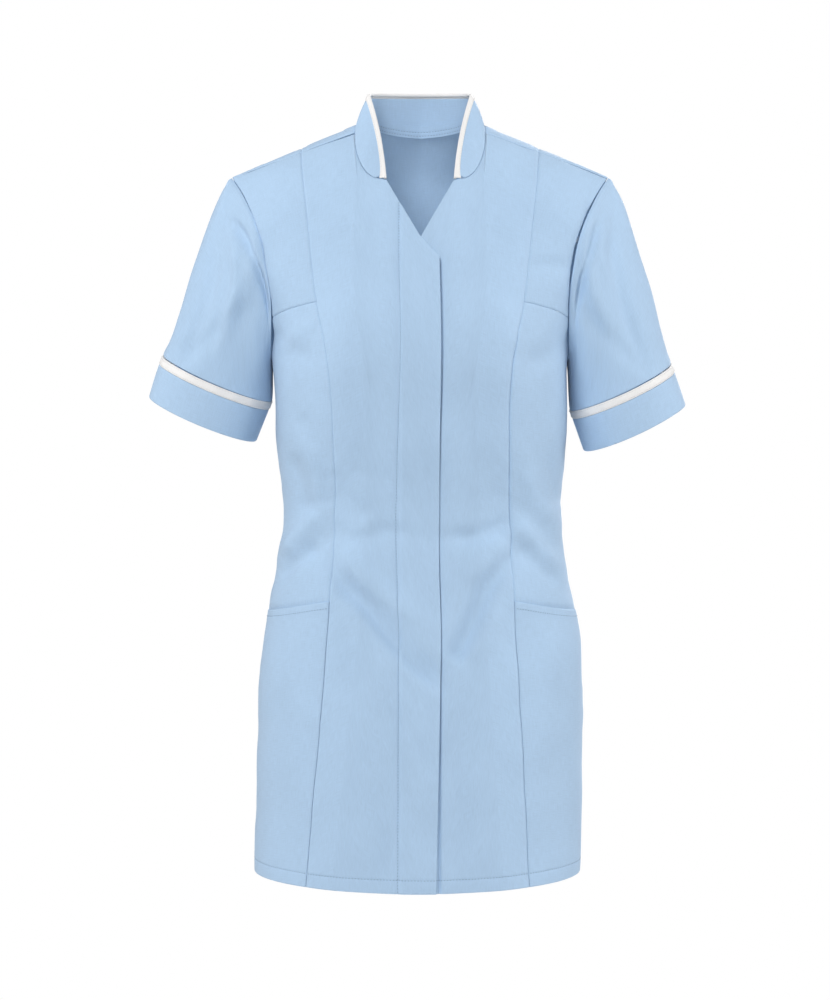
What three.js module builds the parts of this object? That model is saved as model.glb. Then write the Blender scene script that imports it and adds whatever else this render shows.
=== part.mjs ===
// A short-sleeved work tunic with a mandarin collar, hollow as it is worn, with no wearer.
// Each piece that a maker cuts and sews on is one wall of cloth: two centre fronts that overlap, two upper
// and two lower side fronts, two hip pockets with the cloth behind them, a centre back, two upper and two
// lower side backs, two sleeves with a contrast strip and a cuff, a stand collar with its binding, and the
// tape over the back neck seam.
// Millimetres, +Z up. The front faces -Y and the wearer's left is +X. The origin is the middle of the neck,
// level with the points where the shoulder seams meet the collar.
import * as THREE from "three";

// Cloth and seams
const CLOTH = 1.5; // wall of every panel
const BINDING_WALL = 2.1; // the binding folds over the collar's edge
const TAPE_WALL = 1.0;
const SEAM_GAP = 0.3; // between two pieces that are sewn together
const COLLAR_GAP = 0.5; // the same for the collar, measured up its slanting front
const LAYER = CLOTH + SEAM_GAP; // from one layer to the next that lies on it
const PLACKET_LIFT = CLOTH + 0.8; // the right front over the left one

// Heights
const HEM_Z = -742;
const UNDERARM_Z = -226;
const SHOULDER_TIP_Z = -44.6;
const POCKET_Z = { seam: -465, side: -476 };
const HEM_CURVE = { rise: 7, from: -560 }; // the hem rises to the side seams, and the cloth below a height

// Horizontal sections of the body, from the neck down: half width, sideways centre, depth in front of and
// behind the shoulder line, and how square the section is (2 is an ellipse).
const SECTIONS = [
  { z: 45, half: 188, centre: 0, front: 44, back: 52, square: 2.4 },
  { z: 0, half: 188, centre: 0, front: 57, back: 66, square: 2.4 },
  { z: -46, half: 188, centre: 0, front: 70, back: 86, square: 2.4 },
  { z: -80, half: 187, centre: 0, front: 82, back: 95, square: 2.4 },
  { z: -125, half: 172, centre: 0, front: 98, back: 102, square: 2.4 },
  { z: -170, half: 156, centre: 0, front: 113, back: 105, square: 2.4 },
  { z: -226, half: 147, centre: 0, front: 122, back: 103, square: 2.4 },
  { z: -300, half: 145.5, centre: 1, front: 119, back: 95, square: 2.35 },
  { z: -380, half: 138, centre: 2.5, front: 107, back: 87, square: 2.25 },
  { z: -443, half: 147, centre: 1.5, front: 111, back: 97, square: 2.25 },
  { z: -510, half: 158, centre: 1.5, front: 119, back: 113, square: 2.3 },
  { z: -600, half: 162.5, centre: 0, front: 125, back: 123, square: 2.3 },
  { z: -742, half: 162, centre: -2.5, front: 128, back: 123, square: 2.3 },
];

// Shoulder: a ridge that falls away from the neck, rounded over to the front and the back
const RIDGE = { neckX: 65, neckZ: 7, fall: 0.4163, rounding: 75 };
const SEAM_FORWARD = { neck: 11, tip: 1.5 }; // how far below the ridge the shoulder seam lies, in front
// Bust: the two cups that the princess seams and the bust seams shape
const CUP = { x: 78, z: -222, wide: 54, tall: 62, deep: 11 };

// Armhole: an oval seen from the side
const ARMHOLE = { front: 56, back: 60 };
const ARMHOLE_CENTRE_Z = (SHOULDER_TIP_Z + UNDERARM_Z) / 2;
const ARMHOLE_HALF = (SHOULDER_TIP_Z - UNDERARM_Z) / 2;

// Princess seams, the same on both sides, from the shoulder to the hem
const PRINCESS = [
  { z: -24, x: 118 },
  { z: -113, x: 108 },
  { z: -178, x: 100 },
  { z: -215, x: 92.5 },
  { z: -257, x: 86.5 },
  { z: -320, x: 85 },
  { z: -390, x: 86 },
  { z: -465, x: 89 },
  { z: -570, x: 96 },
  { z: -742, x: 108 },
];
const BUST_SEAM_Z = -176; // where the bust seam meets the princess seam
// The princess seams of the back, from the same place on the shoulder
const BACK_PRINCESS = [
  { z: -16, x: 118 },
  { z: -113, x: 104 },
  { z: -226, x: 85 },
  { z: -384, x: 73 },
  { z: -500, x: 83 },
  { z: -742, x: 98 },
];

// Front opening: the wearer's right front lies on the left one
const FRONT_EDGE = [
  { z: -134, x: 18.5 },
  { z: -225, x: 20 },
  { z: -385, x: 15.5 },
  { z: -490, x: 18 },
  { z: -742, x: 17.5 },
];
const UNDERLAP = 17; // how far the left front runs past the centre, under the right one
const OPENING_COLUMN = 26; // where the raised placket is level with the front again
const NECKLINE = {
  hps: { x: 65, z: -4 }, // where the shoulder seam meets the collar
  frontSeam: { x: 40, z: -54 }, // end of the neck seam
  vTop: { x: 32.5, z: -56 }, // end of the collar's binding
  vMiddle: { x: 0, z: -113 },
  belowMiddle: 1.13, // slope of the V past the middle
  backZ: 3,
};

// Collar
const COLLAR = {
  topHalf: 51, topY: -8, topDepth: 52, backTopZ: 46, cornerZ: 35, cornerTurn: 103, bulge: 2,
};
const COLLAR_EDGE_BEND = new THREE.Vector3(36, -52, -8); // bends each front edge towards the neck
const BINDING = 7;
const NECK_TAPE = 10;

// Sleeves: each hangs out from the shoulder by its own lean, and its cuff is an oval across that line
const SLEEVES = [
  { side: -1, name: "right", lean: 20.5, tilt: 23, cuff: { x: 218, y: 12, z: -285 }, across: 58, deep: 50 },
  { side: 1, name: "left", lean: 18, tilt: 25, cuff: { x: 214.5, y: 12, z: -294 }, across: 55, deep: 53 },
];
const SLEEVE_LEAVES = { top: 41, underarm: 2 }; // degrees from straight down, at the armhole
const CUFF = 34;
const STRIP = 8.2;
const CUFF_DIP = 8; // how much lower the cuff hangs in front than at its middle

const COLOURS = {
  cloth: { color: 0xaecbe6, roughness: 0.85 },
  contrast: { color: 0xece8e8, roughness: 0.8 },
};
const MATERIALS = Object.fromEntries(
  Object.entries(COLOURS).map(([name, look]) => {
    return [name, new THREE.MeshStandardMaterial({ ...look, metalness: 0 })];
  }),
);

const radians = THREE.MathUtils.degToRad;
const lerp = THREE.MathUtils.lerp;
const tunic = new THREE.Group();

// ---- Curves through short tables ----

// A smooth curve through a table's rows: cubic pieces whose slope at a row comes from its two neighbours.
function follow(table, column, z) {
  const last = table.length - 1;
  let i = 0;
  while (i < last - 1 && z < table[i + 1].z) i++;
  const slope = (k) => {
    const a = table[Math.max(k - 1, 0)];
    const b = table[Math.min(k + 1, last)];
    return (b[column] - a[column]) / (b.z - a.z);
  };
  const a = table[i];
  const b = table[i + 1];
  const span = b.z - a.z;
  const t = THREE.MathUtils.clamp((z - a.z) / span, 0, 1);
  const t2 = t * t;
  const t3 = t2 * t;
  return (
    (2 * t3 - 3 * t2 + 1) * a[column] +
    (t3 - 2 * t2 + t) * span * slope(i) +
    (3 * t2 - 2 * t3) * b[column] +
    (t3 - t2) * span * slope(i + 1)
  );
}

const ridgeZ = (x) => RIDGE.neckZ - RIDGE.fall * (Math.abs(x) - RIDGE.neckX);

// How far below the ridge the shoulder seam runs, in front, at a distance x from the centre.
function seamDrop(x) {
  const tip = follow(SECTIONS, "half", SHOULDER_TIP_Z);
  return lerp(SEAM_FORWARD.neck, SEAM_FORWARD.tip, (Math.abs(x) - RIDGE.neckX) / (tip - RIDGE.neckX));
}

// ---- The body as one surface ----

// A place on the body is a turn round it and a height. The turn is 0 at the centre front, a quarter turn at
// the sides and half a turn at the centre back. A height above the ridge is counted on over it, down the
// other side.
function bodyPoint(turn, height) {
  const square = follow(SECTIONS, "square", height);
  const sine = Math.sin(turn);
  const across = Math.sign(sine) * Math.abs(sine) ** (2 / square);
  const through = Math.abs(Math.cos(turn)) ** (2 / square);
  const x = follow(SECTIONS, "half", height) * across;
  const hemShare = THREE.MathUtils.smoothstep(HEM_CURVE.from - height, 0, HEM_CURVE.from - HEM_Z);
  const below = ridgeZ(x) - height;
  const z = ridgeZ(x) - Math.abs(below);
  const inFront = Math.cos(turn) > 0 === below > 0;
  const rounding = Math.min(Math.abs(below) / RIDGE.rounding, 1);
  const rounded = Math.sqrt(1 - (1 - rounding) ** 2);
  const cup =
    CUP.deep * Math.exp(-(((Math.abs(x) - CUP.x) / CUP.wide) ** 2) - ((z - CUP.z) / CUP.tall) ** 2);
  const depth = inFront ? -(follow(SECTIONS, "front", z) + cup) : follow(SECTIONS, "back", z);
  const rise = HEM_CURVE.rise * across ** 2 * hemShare;
  return new THREE.Vector3(x + follow(SECTIONS, "centre", z), depth * through * rounded, z + rise);
}

// The turn at which the body is x from its own centre line, at a height.
function turnAt(x, height) {
  const share = Math.min(Math.abs(x) / follow(SECTIONS, "half", height), 1);
  return Math.sign(x) * Math.asin(share ** (follow(SECTIONS, "square", height) / 2));
}

// The outward direction of a surface that is given as a function of two numbers.
function outward(surface, a, b, stepA, stepB) {
  const alongA = surface(a + stepA, b).sub(surface(a - stepA, b));
  const alongB = surface(a, b + stepB).sub(surface(a, b - stepB));
  return alongA.cross(alongB).normalize();
}

// A point of the body and the direction out of it, moved out by a lift.
function clothAt(turn, height, lift) {
  const direction = outward(bodyPoint, turn, height, 0.004, 0.4);
  return { point: bodyPoint(turn, height).addScaledVector(direction, lift), direction };
}

// The armhole at an angle round its oval: 0 at the shoulder tip, positive down the front, negative down the
// back. It is given as a turn and a height on the wearer's left.
function armhole(angle) {
  const height = ARMHOLE_CENTRE_Z + ARMHOLE_HALF * Math.cos(angle);
  const inFront = angle > 0;
  const reach = Math.abs(Math.sin(angle)) * (inFront ? ARMHOLE.front : ARMHOLE.back);
  const share = reach / follow(SECTIONS, inFront ? "front" : "back", height);
  const turn = Math.acos(share ** (follow(SECTIONS, "square", height) / 2));
  return { turn: inFront ? turn : Math.PI - turn, height };
}

// ---- Rows that neighbouring panels share, so that their edges match ----
// Where the shoulder seam meets the armhole
const SHOULDER_ANGLE = Math.acos(1 - SEAM_FORWARD.tip / ARMHOLE_HALF);
const degrees = (list) => list.map(radians);
const BUST_ANGLE = 125.5; // where the bust seam meets the armhole
const UPPER_ANGLES = [SHOULDER_ANGLE, ...degrees([30, 45, 60, 75, 90, 107, BUST_ANGLE])];
const LOWER_ANGLES = degrees([BUST_ANGLE, 138, 151, 165, 180]);
const BACK_DEGREES = [-15, -22, -30, -45, -60, -75, -90, -105, -120, -135, -150, -165, -180];
const BACK_ANGLES = [SHOULDER_ANGLE, 0, ...degrees(BACK_DEGREES)];
const SLEEVE_ANGLES = [
  ...BACK_ANGLES.slice(1, -1),
  ...LOWER_ANGLES.slice(1).reverse(),
  ...UPPER_ANGLES.toReversed(),
];
const WAIST_ROWS = 6;
const WAIST_BELOW = 2; // rows from the waist down to the mouths of the pockets
const HIP_ROWS = 5;
const SIDE_COLUMNS = 5;
const SLEEVE_ROWS = 7;
const FRONT_NECK = [0, 0.25, 0.5, 0.75, 0.9, 1]; // shares of the neck seam, which the collar follows
const BACK_NECK = [0, 0.25, 0.5, 0.75, 1];

const dropShare = (angle) => (1 - Math.cos(angle)) / 2; // share of the way down the armhole

// Heights of the shared rows on a line that starts at top, meets the bust seam at bust and passes the
// underarm.
function upperHeights(top, bust) {
  const first = dropShare(UPPER_ANGLES[0]);
  const last = dropShare(UPPER_ANGLES.at(-1));
  return UPPER_ANGLES.map((a) => lerp(top, bust, (dropShare(a) - first) / (last - first)));
}
function lowerHeights(bust) {
  const first = dropShare(LOWER_ANGLES[0]);
  return LOWER_ANGLES.map((a) => lerp(bust, UNDERARM_Z, (dropShare(a) - first) / (1 - first)));
}

// ---- Panels ----

const half = SEAM_GAP / 2;
const at = (turn, height) => ({ turn, height });
const mix = (a, b, t) => at(lerp(a.turn, b.turn, t), lerp(a.height, b.height, t));

// A list of places, read as a line: share 0 is its first place and 1 its last.
function along(places, share) {
  const position = share * (places.length - 1);
  const i = Math.min(Math.floor(position), places.length - 2);
  return mix(places[i], places[i + 1], position - i);
}

// A patch between four edges: the top and the bottom as functions of the share across, the two sides as lists
// of places. The sum of both blends less the blend of the corners meets all four edges.
function patch(top, bottom, start, end) {
  const rows = start.length - 1;
  return (across, row) => {
    const down = row / rows;
    const between = mix(top(across), bottom(across), down);
    const sideways = mix(start[row], end[row], across);
    const corners = mix(mix(top(0), top(1), across), mix(bottom(0), bottom(1), across), down);
    return at(
      between.turn + sideways.turn - corners.turn,
      between.height + sideways.height - corners.height,
    );
  };
}

// Triangles of a grid of points: rows of the outer face, then rows of the inner face, closed round the edges.
// A ring closes on itself across.
function wallGeometry(outer, inner, ring) {
  const rows = outer.length;
  const last = rows - 1;
  const columns = outer[0].length;
  const across = ring ? columns : columns - 1;
  const number = (face, row, column) => (face * rows + row) * columns + (column % columns);
  const index = [];
  const quad = (a, b, c, d) => index.push(a, b, c, a, c, d);
  for (let r = 0; r < last; r++)
    for (let c = 0; c < across; c++) {
      quad(number(0, r, c), number(0, r + 1, c), number(0, r + 1, c + 1), number(0, r, c + 1));
      quad(number(1, r, c), number(1, r, c + 1), number(1, r + 1, c + 1), number(1, r + 1, c));
    }
  for (let c = 0; c < across; c++) {
    quad(number(0, 0, c), number(0, 0, c + 1), number(1, 0, c + 1), number(1, 0, c));
    quad(number(0, last, c), number(1, last, c), number(1, last, c + 1), number(0, last, c + 1));
  }
  if (!ring)
    for (let r = 0; r < last; r++) {
      quad(number(0, r, 0), number(1, r, 0), number(1, r + 1, 0), number(0, r + 1, 0));
      const end = columns - 1;
      quad(number(0, r, end), number(0, r + 1, end), number(1, r + 1, end), number(1, r, end));
    }
  const positions = [...outer.flat(), ...inner.flat()].flatMap((p) => p.toArray());
  const geometry = new THREE.BufferGeometry();
  geometry.setAttribute("position", new THREE.Float32BufferAttribute(positions, 3));
  geometry.setIndex(index);
  geometry.computeVertexNormals();
  return geometry;
}

function addPiece(name, geometry, look) {
  const piece = new THREE.Mesh(geometry, MATERIALS[look]);
  piece.name = name;
  tunic.add(piece);
}

// Turns a geometry's faces round, after a mirror.
function flipped(geometry) {
  const order = geometry.index.array;
  for (let i = 0; i < order.length; i += 3) [order[i + 1], order[i + 2]] = [order[i + 2], order[i + 1]];
  geometry.computeVertexNormals();
  return geometry;
}

// Part of a panel, between two of its rows, with half a seam's gap taken from each end that is asked for.
function between(place, from, to, { top = false, bottom = false }) {
  return (across, row) => {
    const { turn, height } = place(across, row + from);
    const end = (top && row === 0 ? -half : 0) + (bottom && row === to - from ? half : 0);
    return at(turn, height + end);
  };
}

// A wall of cloth on the body. place gives the turn and the height for a share across and a row, on the
// wearer's left, lift how far out its outer face lies, and side -1 mirrors it to the wearer's right.
function addPanel(name, side, columns, rows, place, lift = () => 0) {
  const outer = [];
  const inner = [];
  for (let row = 0; row <= rows; row++) {
    const placed = Array.from({ length: columns + 1 }, (_, c) => {
      const { turn, height } = place(c / columns, row);
      return clothAt(side * turn, height, lift(turn, height));
    });
    outer.push(placed.map((p) => p.point));
    inner.push(placed.map((p) => p.point.clone().addScaledVector(p.direction, -CLOTH)));
  }
  const geometry = wallGeometry(outer, inner, false);
  addPiece(name, side > 0 ? geometry : flipped(geometry), "cloth");
}

const princess = (height, offset) => at(turnAt(follow(PRINCESS, "x", height) + offset, height), height);
const sideSeam = (height, offset) => at(Math.PI / 2 + offset / follow(SECTIONS, "front", height), height);
const shoulderHeight = (x) => ridgeZ(x) - seamDrop(x);
const SHOULDER_X = PRINCESS[0].x; // where the princess seam meets the shoulder seam
const span = (from, to, steps) => Array.from({ length: steps + 1 }, (_, i) => lerp(from, to, i / steps));

// Heights of a line's rows below the underarm, with one row at the mouth of the pocket.
function lowerBody(pocket) {
  const waist = span(UNDERARM_Z, pocket, WAIST_ROWS).slice(1);
  const hip = span(pocket, HEM_Z, HIP_ROWS).slice(1);
  return [...waist, ...hip];
}
const wholeLine = (top, bust, pocket) => [
  ...upperHeights(top, bust),
  ...lowerHeights(bust).slice(1),
  ...lowerBody(pocket),
];
const FRONT_ROWS = UPPER_ANGLES.length + LOWER_ANGLES.length - 2 + WAIST_ROWS + HIP_ROWS;

// Centre fronts. Near the opening each has straight columns, which the two fronts share where they overlap.
// From there a patch runs to the princess seam, under the V, the neck seam and the shoulder seam.
const vLine = (x) => NECKLINE.vMiddle.z + (x < 0 ? NECKLINE.belowMiddle : vSlope) * x;
const vSlope = (NECKLINE.vTop.z - NECKLINE.vMiddle.z) / NECKLINE.vTop.x;

// The neck seam of the front, a quarter oval from the shoulder seam to the end of the collar.
function frontNeck(share) {
  const { hps, frontSeam } = NECKLINE;
  const angle = (share * Math.PI) / 2;
  return {
    x: frontSeam.x + (hps.x - frontSeam.x) * Math.cos(angle),
    z: hps.z - (hps.z - frontSeam.z) * Math.sin(angle),
  };
}

function centreFront(edge) {
  const straight = [edge, () => 0, () => UNDERLAP + 1, () => OPENING_COLUMN].map((x) => {
    const top = vLine(x(FRONT_EDGE[0].z));
    return wholeLine(top, BUST_SEAM_Z - 14, POCKET_Z.seam).map((z) => at(turnAt(x(z), z), z));
  });
  const neck = FRONT_NECK.toReversed().map(frontNeck);
  const shoulder = [82, 100, SHOULDER_X - half].map((x) => ({ x, z: shoulderHeight(x) }));
  const line = [NECKLINE.vTop, ...neck, ...shoulder].map(({ x, z }) => at(turnAt(x, z - half), z - half));
  const start = straight.at(-1);
  const end = wholeLine(line.at(-1).height, BUST_SEAM_Z, POCKET_Z.seam).map((z) => princess(z, -half));
  end[0] = line.at(-1);
  const top = [start[0], ...line];
  const hem = (share) => mix(start.at(-1), end.at(-1), share);
  const panel = patch((share) => along(top, share), hem, start, end);
  const columns = straight.length - 1 + top.length - 1;
  const place = (share, row) => {
    const column = Math.round(share * columns) - (straight.length - 1);
    return column <= 0 ? straight.at(column - 1)[row] : panel(column / (top.length - 1), row);
  };
  return { columns, place };
}

// How far the right front is raised over the left one: a full layer over the underlap, none past the
// stitching.
function placketLift(turn, height) {
  const x = bodyPoint(turn, height).x - follow(SECTIONS, "centre", height);
  return x < UNDERLAP + 3 ? PLACKET_LIFT : 0;
}
const rightFront = centreFront((z) => -follow(FRONT_EDGE, "x", z));
addPanel("front_right", -1, rightFront.columns, FRONT_ROWS, rightFront.place, placketLift);
const leftFront = centreFront(() => -UNDERLAP);
addPanel("front_left", 1, leftFront.columns, FRONT_ROWS, leftFront.place);

// Side fronts and pockets
const underarmRow = UPPER_ANGLES.length - 1;
const mouthRow = LOWER_ANGLES.length - 1 + WAIST_ROWS;
for (const [side, name] of [[-1, "right"], [1, "left"]]) {
  const shoulderTip = armhole(SHOULDER_ANGLE);
  const tipX = bodyPoint(shoulderTip.turn, shoulderTip.height).x;
  const shoulder = span(SHOULDER_X + half, tipX, SIDE_COLUMNS).map((x) => {
    const z = shoulderHeight(x) - half;
    return at(turnAt(x, z), z);
  });
  shoulder[SIDE_COLUMNS] = at(shoulderTip.turn, shoulderTip.height - SEAM_GAP);
  const bustEnd = armhole(UPPER_ANGLES.at(-1));
  const bustHeights = wholeLine(shoulder[0].height, BUST_SEAM_Z, POCKET_Z.seam);

  const upperStart = bustHeights.slice(0, underarmRow + 1).map((z) => princess(z, half));
  upperStart[0] = shoulder[0];
  upperStart[underarmRow].height += half;
  const upperEnd = UPPER_ANGLES.map(armhole);
  upperEnd[0] = shoulder[SIDE_COLUMNS];
  upperEnd[underarmRow].height += half;
  const upperBottom = (share) => mix(upperStart.at(-1), upperEnd.at(-1), share);
  const upper = patch((share) => along(shoulder, share), upperBottom, upperStart, upperEnd);
  addPanel(`side_front_upper_${name}`, side, SIDE_COLUMNS, underarmRow, upper);

  const lowerStart = bustHeights.slice(underarmRow).map((z) => princess(z, half));
  const lowerEnd = LOWER_ANGLES.map(armhole);
  lowerEnd[lowerEnd.length - 1] = sideSeam(UNDERARM_Z, -half);
  for (const z of lowerBody(POCKET_Z.side)) lowerEnd.push(sideSeam(z, -half));
  lowerStart[0].height -= half;
  lowerEnd[0] = at(bustEnd.turn, bustEnd.height - half);
  const lowerTop = (share) => mix(lowerStart[0], lowerEnd[0], share);
  const lowerBottom = (share) => mix(lowerStart.at(-1), lowerEnd.at(-1), share);
  const lower = patch(lowerTop, lowerBottom, lowerStart, lowerEnd);
  const ribs = between(lower, 0, mouthRow, { bottom: true });
  addPanel(`side_front_lower_${name}`, side, SIDE_COLUMNS, mouthRow, ribs);
  const hip = between(lower, mouthRow, mouthRow + HIP_ROWS, { top: true });
  addPanel(`pocket_back_${name}`, side, SIDE_COLUMNS, HIP_ROWS, hip);
  addPanel(`pocket_${name}`, side, SIDE_COLUMNS, HIP_ROWS, between(lower, mouthRow, 0, {}), () => LAYER);
}

// Backs: over the shoulders, where they reach forward to the shoulder seams, and down to the hem. A centre
// back lies between two side backs, which run round to the side seams and are parted at the waist.
function overRidge({ turn, height }) {
  const x = bodyPoint(turn, height).x;
  return at(Math.PI - turn, 2 * ridgeZ(x) - height);
}
const mirrored = ({ turn, height }) => at(2 * Math.PI - turn, height);
const backPrincess = (height, offset) =>
  at(Math.PI - turnAt(follow(BACK_PRINCESS, "x", height) + offset, height), height);

// A place of the backs' top edge, a seam's gap behind the shoulder seam.
function backShoulder(x) {
  const z = shoulderHeight(x);
  const { turn, height } = overRidge(at(turnAt(x, z), z));
  return at(turn, height - SEAM_GAP);
}

// The neck seam of the back, from the middle (share 0) to the point where it meets the shoulder seam (1).
function backNeck(share) {
  const x = NECKLINE.hps.x * Math.sin((share * Math.PI) / 2);
  const seam = 2 * ridgeZ(NECKLINE.hps.x) - NECKLINE.hps.z;
  const height = seam + (NECKLINE.backZ - seam) * Math.cos((share * Math.PI) / 2);
  return at(Math.PI - turnAt(x, height), height);
}
{
  const tip = armhole(SHOULDER_ANGLE);
  const tipX = bodyPoint(tip.turn, tip.height).x;
  const shoulder = span(tipX, SHOULDER_X + half, SIDE_COLUMNS).map(backShoulder);
  shoulder[0] = overRidge(at(tip.turn, tip.height + 2 * SEAM_GAP));
  const ridge = at(shoulder[0].turn, ridgeZ(tipX));
  const armholeRows = [...BACK_ANGLES.slice(2, -1).map(armhole), sideSeam(UNDERARM_Z, half)];
  const lowerRows = lowerBody(POCKET_Z.side);
  const sideStart = [shoulder[0], ridge, ...armholeRows, ...lowerRows.map((z) => sideSeam(z, half))];

  const share = ({ height }) => (ridge.height - height) / (ridge.height - UNDERARM_Z);
  const upperRows = armholeRows.map((place) => lerp(ridgeZ(SHOULDER_X), UNDERARM_Z, share(place)));
  const rows = 1 + upperRows.length + lowerRows.length;
  const seamLine = (offset) => {
    const heights = [ridgeZ(SHOULDER_X + offset), ...upperRows, ...lowerRows];
    return [backShoulder(SHOULDER_X + offset), ...heights.map((z) => backPrincess(z, offset))];
  };
  const sideEnd = seamLine(half);
  const sideHem = (across) => mix(sideStart.at(-1), sideEnd.at(-1), across);
  const sideBack = patch((across) => along(shoulder, across), sideHem, sideStart, sideEnd);
  const waist = rows - HIP_ROWS - WAIST_BELOW;
  for (const [side, name] of [[-1, "right"], [1, "left"]]) {
    const upper = between(sideBack, 0, waist, { bottom: true });
    addPanel(`side_back_upper_${name}`, side, SIDE_COLUMNS, waist, upper);
    const lower = between(sideBack, waist, rows, { top: true });
    addPanel(`side_back_lower_${name}`, side, SIDE_COLUMNS, rows - waist, lower);
  }

  const start = seamLine(-half);
  const end = start.map(mirrored);
  const leftTop = [start[0], ...[100, 82].map(backShoulder), ...BACK_NECK.toReversed().map(backNeck)];
  const top = [...leftTop, ...leftTop.slice(0, -1).reverse().map(mirrored)];
  const hem = (across) => mix(start.at(-1), end.at(-1), across);
  const centreBack = patch((across) => along(top, across), hem, start, end);
  addPanel("back", 1, top.length - 1, rows, centreBack);
}

// ---- Pieces with their own surfaces ----

// A wall between two of a surface's rows. The surface gives a point for a column and a row. Thickness goes
// inward, and lift moves the whole wall out.
function addWall(name, surface, columns, rows, options) {
  const { ring = false, lift = 0, wall = CLOTH, mirror = false, look } = options;
  const outer = [];
  const inner = [];
  for (const row of rows) {
    const points = columns.map((column) => surface(column, row));
    const directions = columns.map((column) => outward(surface, column, row, 0.02, 0.02));
    outer.push(points.map((p, i) => p.clone().addScaledVector(directions[i], lift)));
    inner.push(points.map((p, i) => p.clone().addScaledVector(directions[i], lift - wall)));
  }
  const geometry = wallGeometry(outer, inner, ring);
  if (mirror) geometry.scale(-1, 1, 1);
  addPiece(name, mirror ? flipped(geometry) : geometry, look);
}

// ---- Sleeves ----

// A point of the sleeve on the wearer's left. The angle goes round the armhole, and the way along it is 0 at
// the armhole, 1 at the strip and 2 at the hem of the cuff. A smooth curve leads from the armhole to the
// strip, and from there the sleeve is straight.
function sleevePoint(sleeve, angle, way) {
  const { turn, height } = armhole(THREE.MathUtils.euclideanModulo(angle + Math.PI, 2 * Math.PI) - Math.PI);
  const seam = bodyPoint(turn, height);
  const share = Math.abs(THREE.MathUtils.euclideanModulo(angle + Math.PI, 2 * Math.PI) - Math.PI) / Math.PI;
  const lean = radians(sleeve.lean);
  const tilt = radians(sleeve.tilt);
  const down = new THREE.Vector3(Math.sin(lean), 0, -Math.cos(lean));
  const ringPoint = (inner) =>
    new THREE.Vector3(
      sleeve.cuff.x + (sleeve.across + inner) * Math.cos(angle) * Math.cos(tilt),
      sleeve.cuff.y - sleeve.deep * Math.sin(angle),
      sleeve.cuff.z + (sleeve.across + inner) * Math.cos(angle) * Math.sin(tilt),
    ).addScaledVector(down, CUFF_DIP * Math.sin(angle) - (inner ? CUFF + STRIP + 2 * SEAM_GAP : 0));
  const hem = ringPoint(0);
  const strip = ringPoint(1);
  if (way >= 1) return strip.lerp(hem, way - 1);
  const leave = radians(lerp(SLEEVE_LEAVES.top, SLEEVE_LEAVES.underarm, share ** 3));
  const length = seam.distanceTo(strip);
  const first = new THREE.Vector3(Math.sin(leave), 0, -Math.cos(leave)).multiplyScalar(length * 0.5);
  const hang = lean * (1 - 0.75 * share ** 3);
  const last = new THREE.Vector3(Math.sin(hang), 0, -Math.cos(hang)).multiplyScalar(length);
  const t = way;
  const start = seam.clone().addScaledVector(first, SEAM_GAP / first.length());
  start.addScaledVector(outward(bodyPoint, turn, height, 0.004, 0.4), SEAM_GAP);
  return start
    .multiplyScalar(2 * t ** 3 - 3 * t ** 2 + 1)
    .addScaledVector(first, t ** 3 - 2 * t ** 2 + t)
    .addScaledVector(strip, 3 * t ** 2 - 2 * t ** 3)
    .addScaledVector(last, t ** 3 - t ** 2);
}
for (const sleeve of SLEEVES) {
  const surface = (angle, way) => sleevePoint(sleeve, angle, way);
  const length = CUFF + STRIP + 2 * SEAM_GAP;
  const stripEnd = 1 + STRIP / length;
  const gap = SEAM_GAP / length;
  const options = { ring: true, mirror: sleeve.side < 0, look: "cloth" };
  addWall(`sleeve_${sleeve.name}`, surface, SLEEVE_ANGLES, span(0, 1 - gap, SLEEVE_ROWS), options);
  const strip = { ...options, look: "contrast" };
  addWall(`sleeve_trim_${sleeve.name}`, surface, SLEEVE_ANGLES, [1, stripEnd], strip);
  addWall(`cuff_${sleeve.name}`, surface, SLEEVE_ANGLES, span(stripEnd + gap, 2, 2), options);
}

// ---- Collar ----

// A point of the collar. The way round it is 0 at the middle of the back, 1 at the corner of the right front
// and 2 at the end of the right front edge, and negative on the left. The way up is 0 at the neck seam and 1
// at the edge.
function collarPoint(round, up) {
  const side = -Math.sign(round);
  const way = Math.abs(round);
  const back = Math.min(way, 1);
  const front = Math.max(way - 1, 0);
  const neck = way <= 1 ? backNeck(back) : frontNeck(front);
  const place = way <= 1 ? neck : at(turnAt(neck.x, neck.z), neck.z);
  const seam = bodyPoint(place.turn, place.height);
  const edgeAt = (turn, z) =>
    new THREE.Vector3(COLLAR.topHalf * Math.sin(turn), COLLAR.topY + COLLAR.topDepth * Math.cos(turn), z);
  const edge = edgeAt(radians(COLLAR.cornerTurn) * back, lerp(COLLAR.backTopZ, COLLAR.cornerZ, back ** 2));
  if (front > 0) {
    const { x, z } = NECKLINE.vTop;
    const end = bodyPoint(turnAt(x, z), z);
    const bend = COLLAR_EDGE_BEND;
    edge.multiplyScalar((1 - front) ** 2);
    edge.addScaledVector(bend, 2 * front * (1 - front)).addScaledVector(end, front ** 2);
  }
  const point = seam.clone().lerp(edge, up);
  const bow = COLLAR.bulge * Math.sin(Math.PI * Math.min(Math.max(up, 0), 1)) * (1 - front);
  point.add(new THREE.Vector3(seam.x, seam.y + 10, 0).normalize().multiplyScalar(bow));
  point.x *= side;
  return point;
}
const collarHeight = (round) => collarPoint(round, 0).distanceTo(collarPoint(round, 1));
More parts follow.
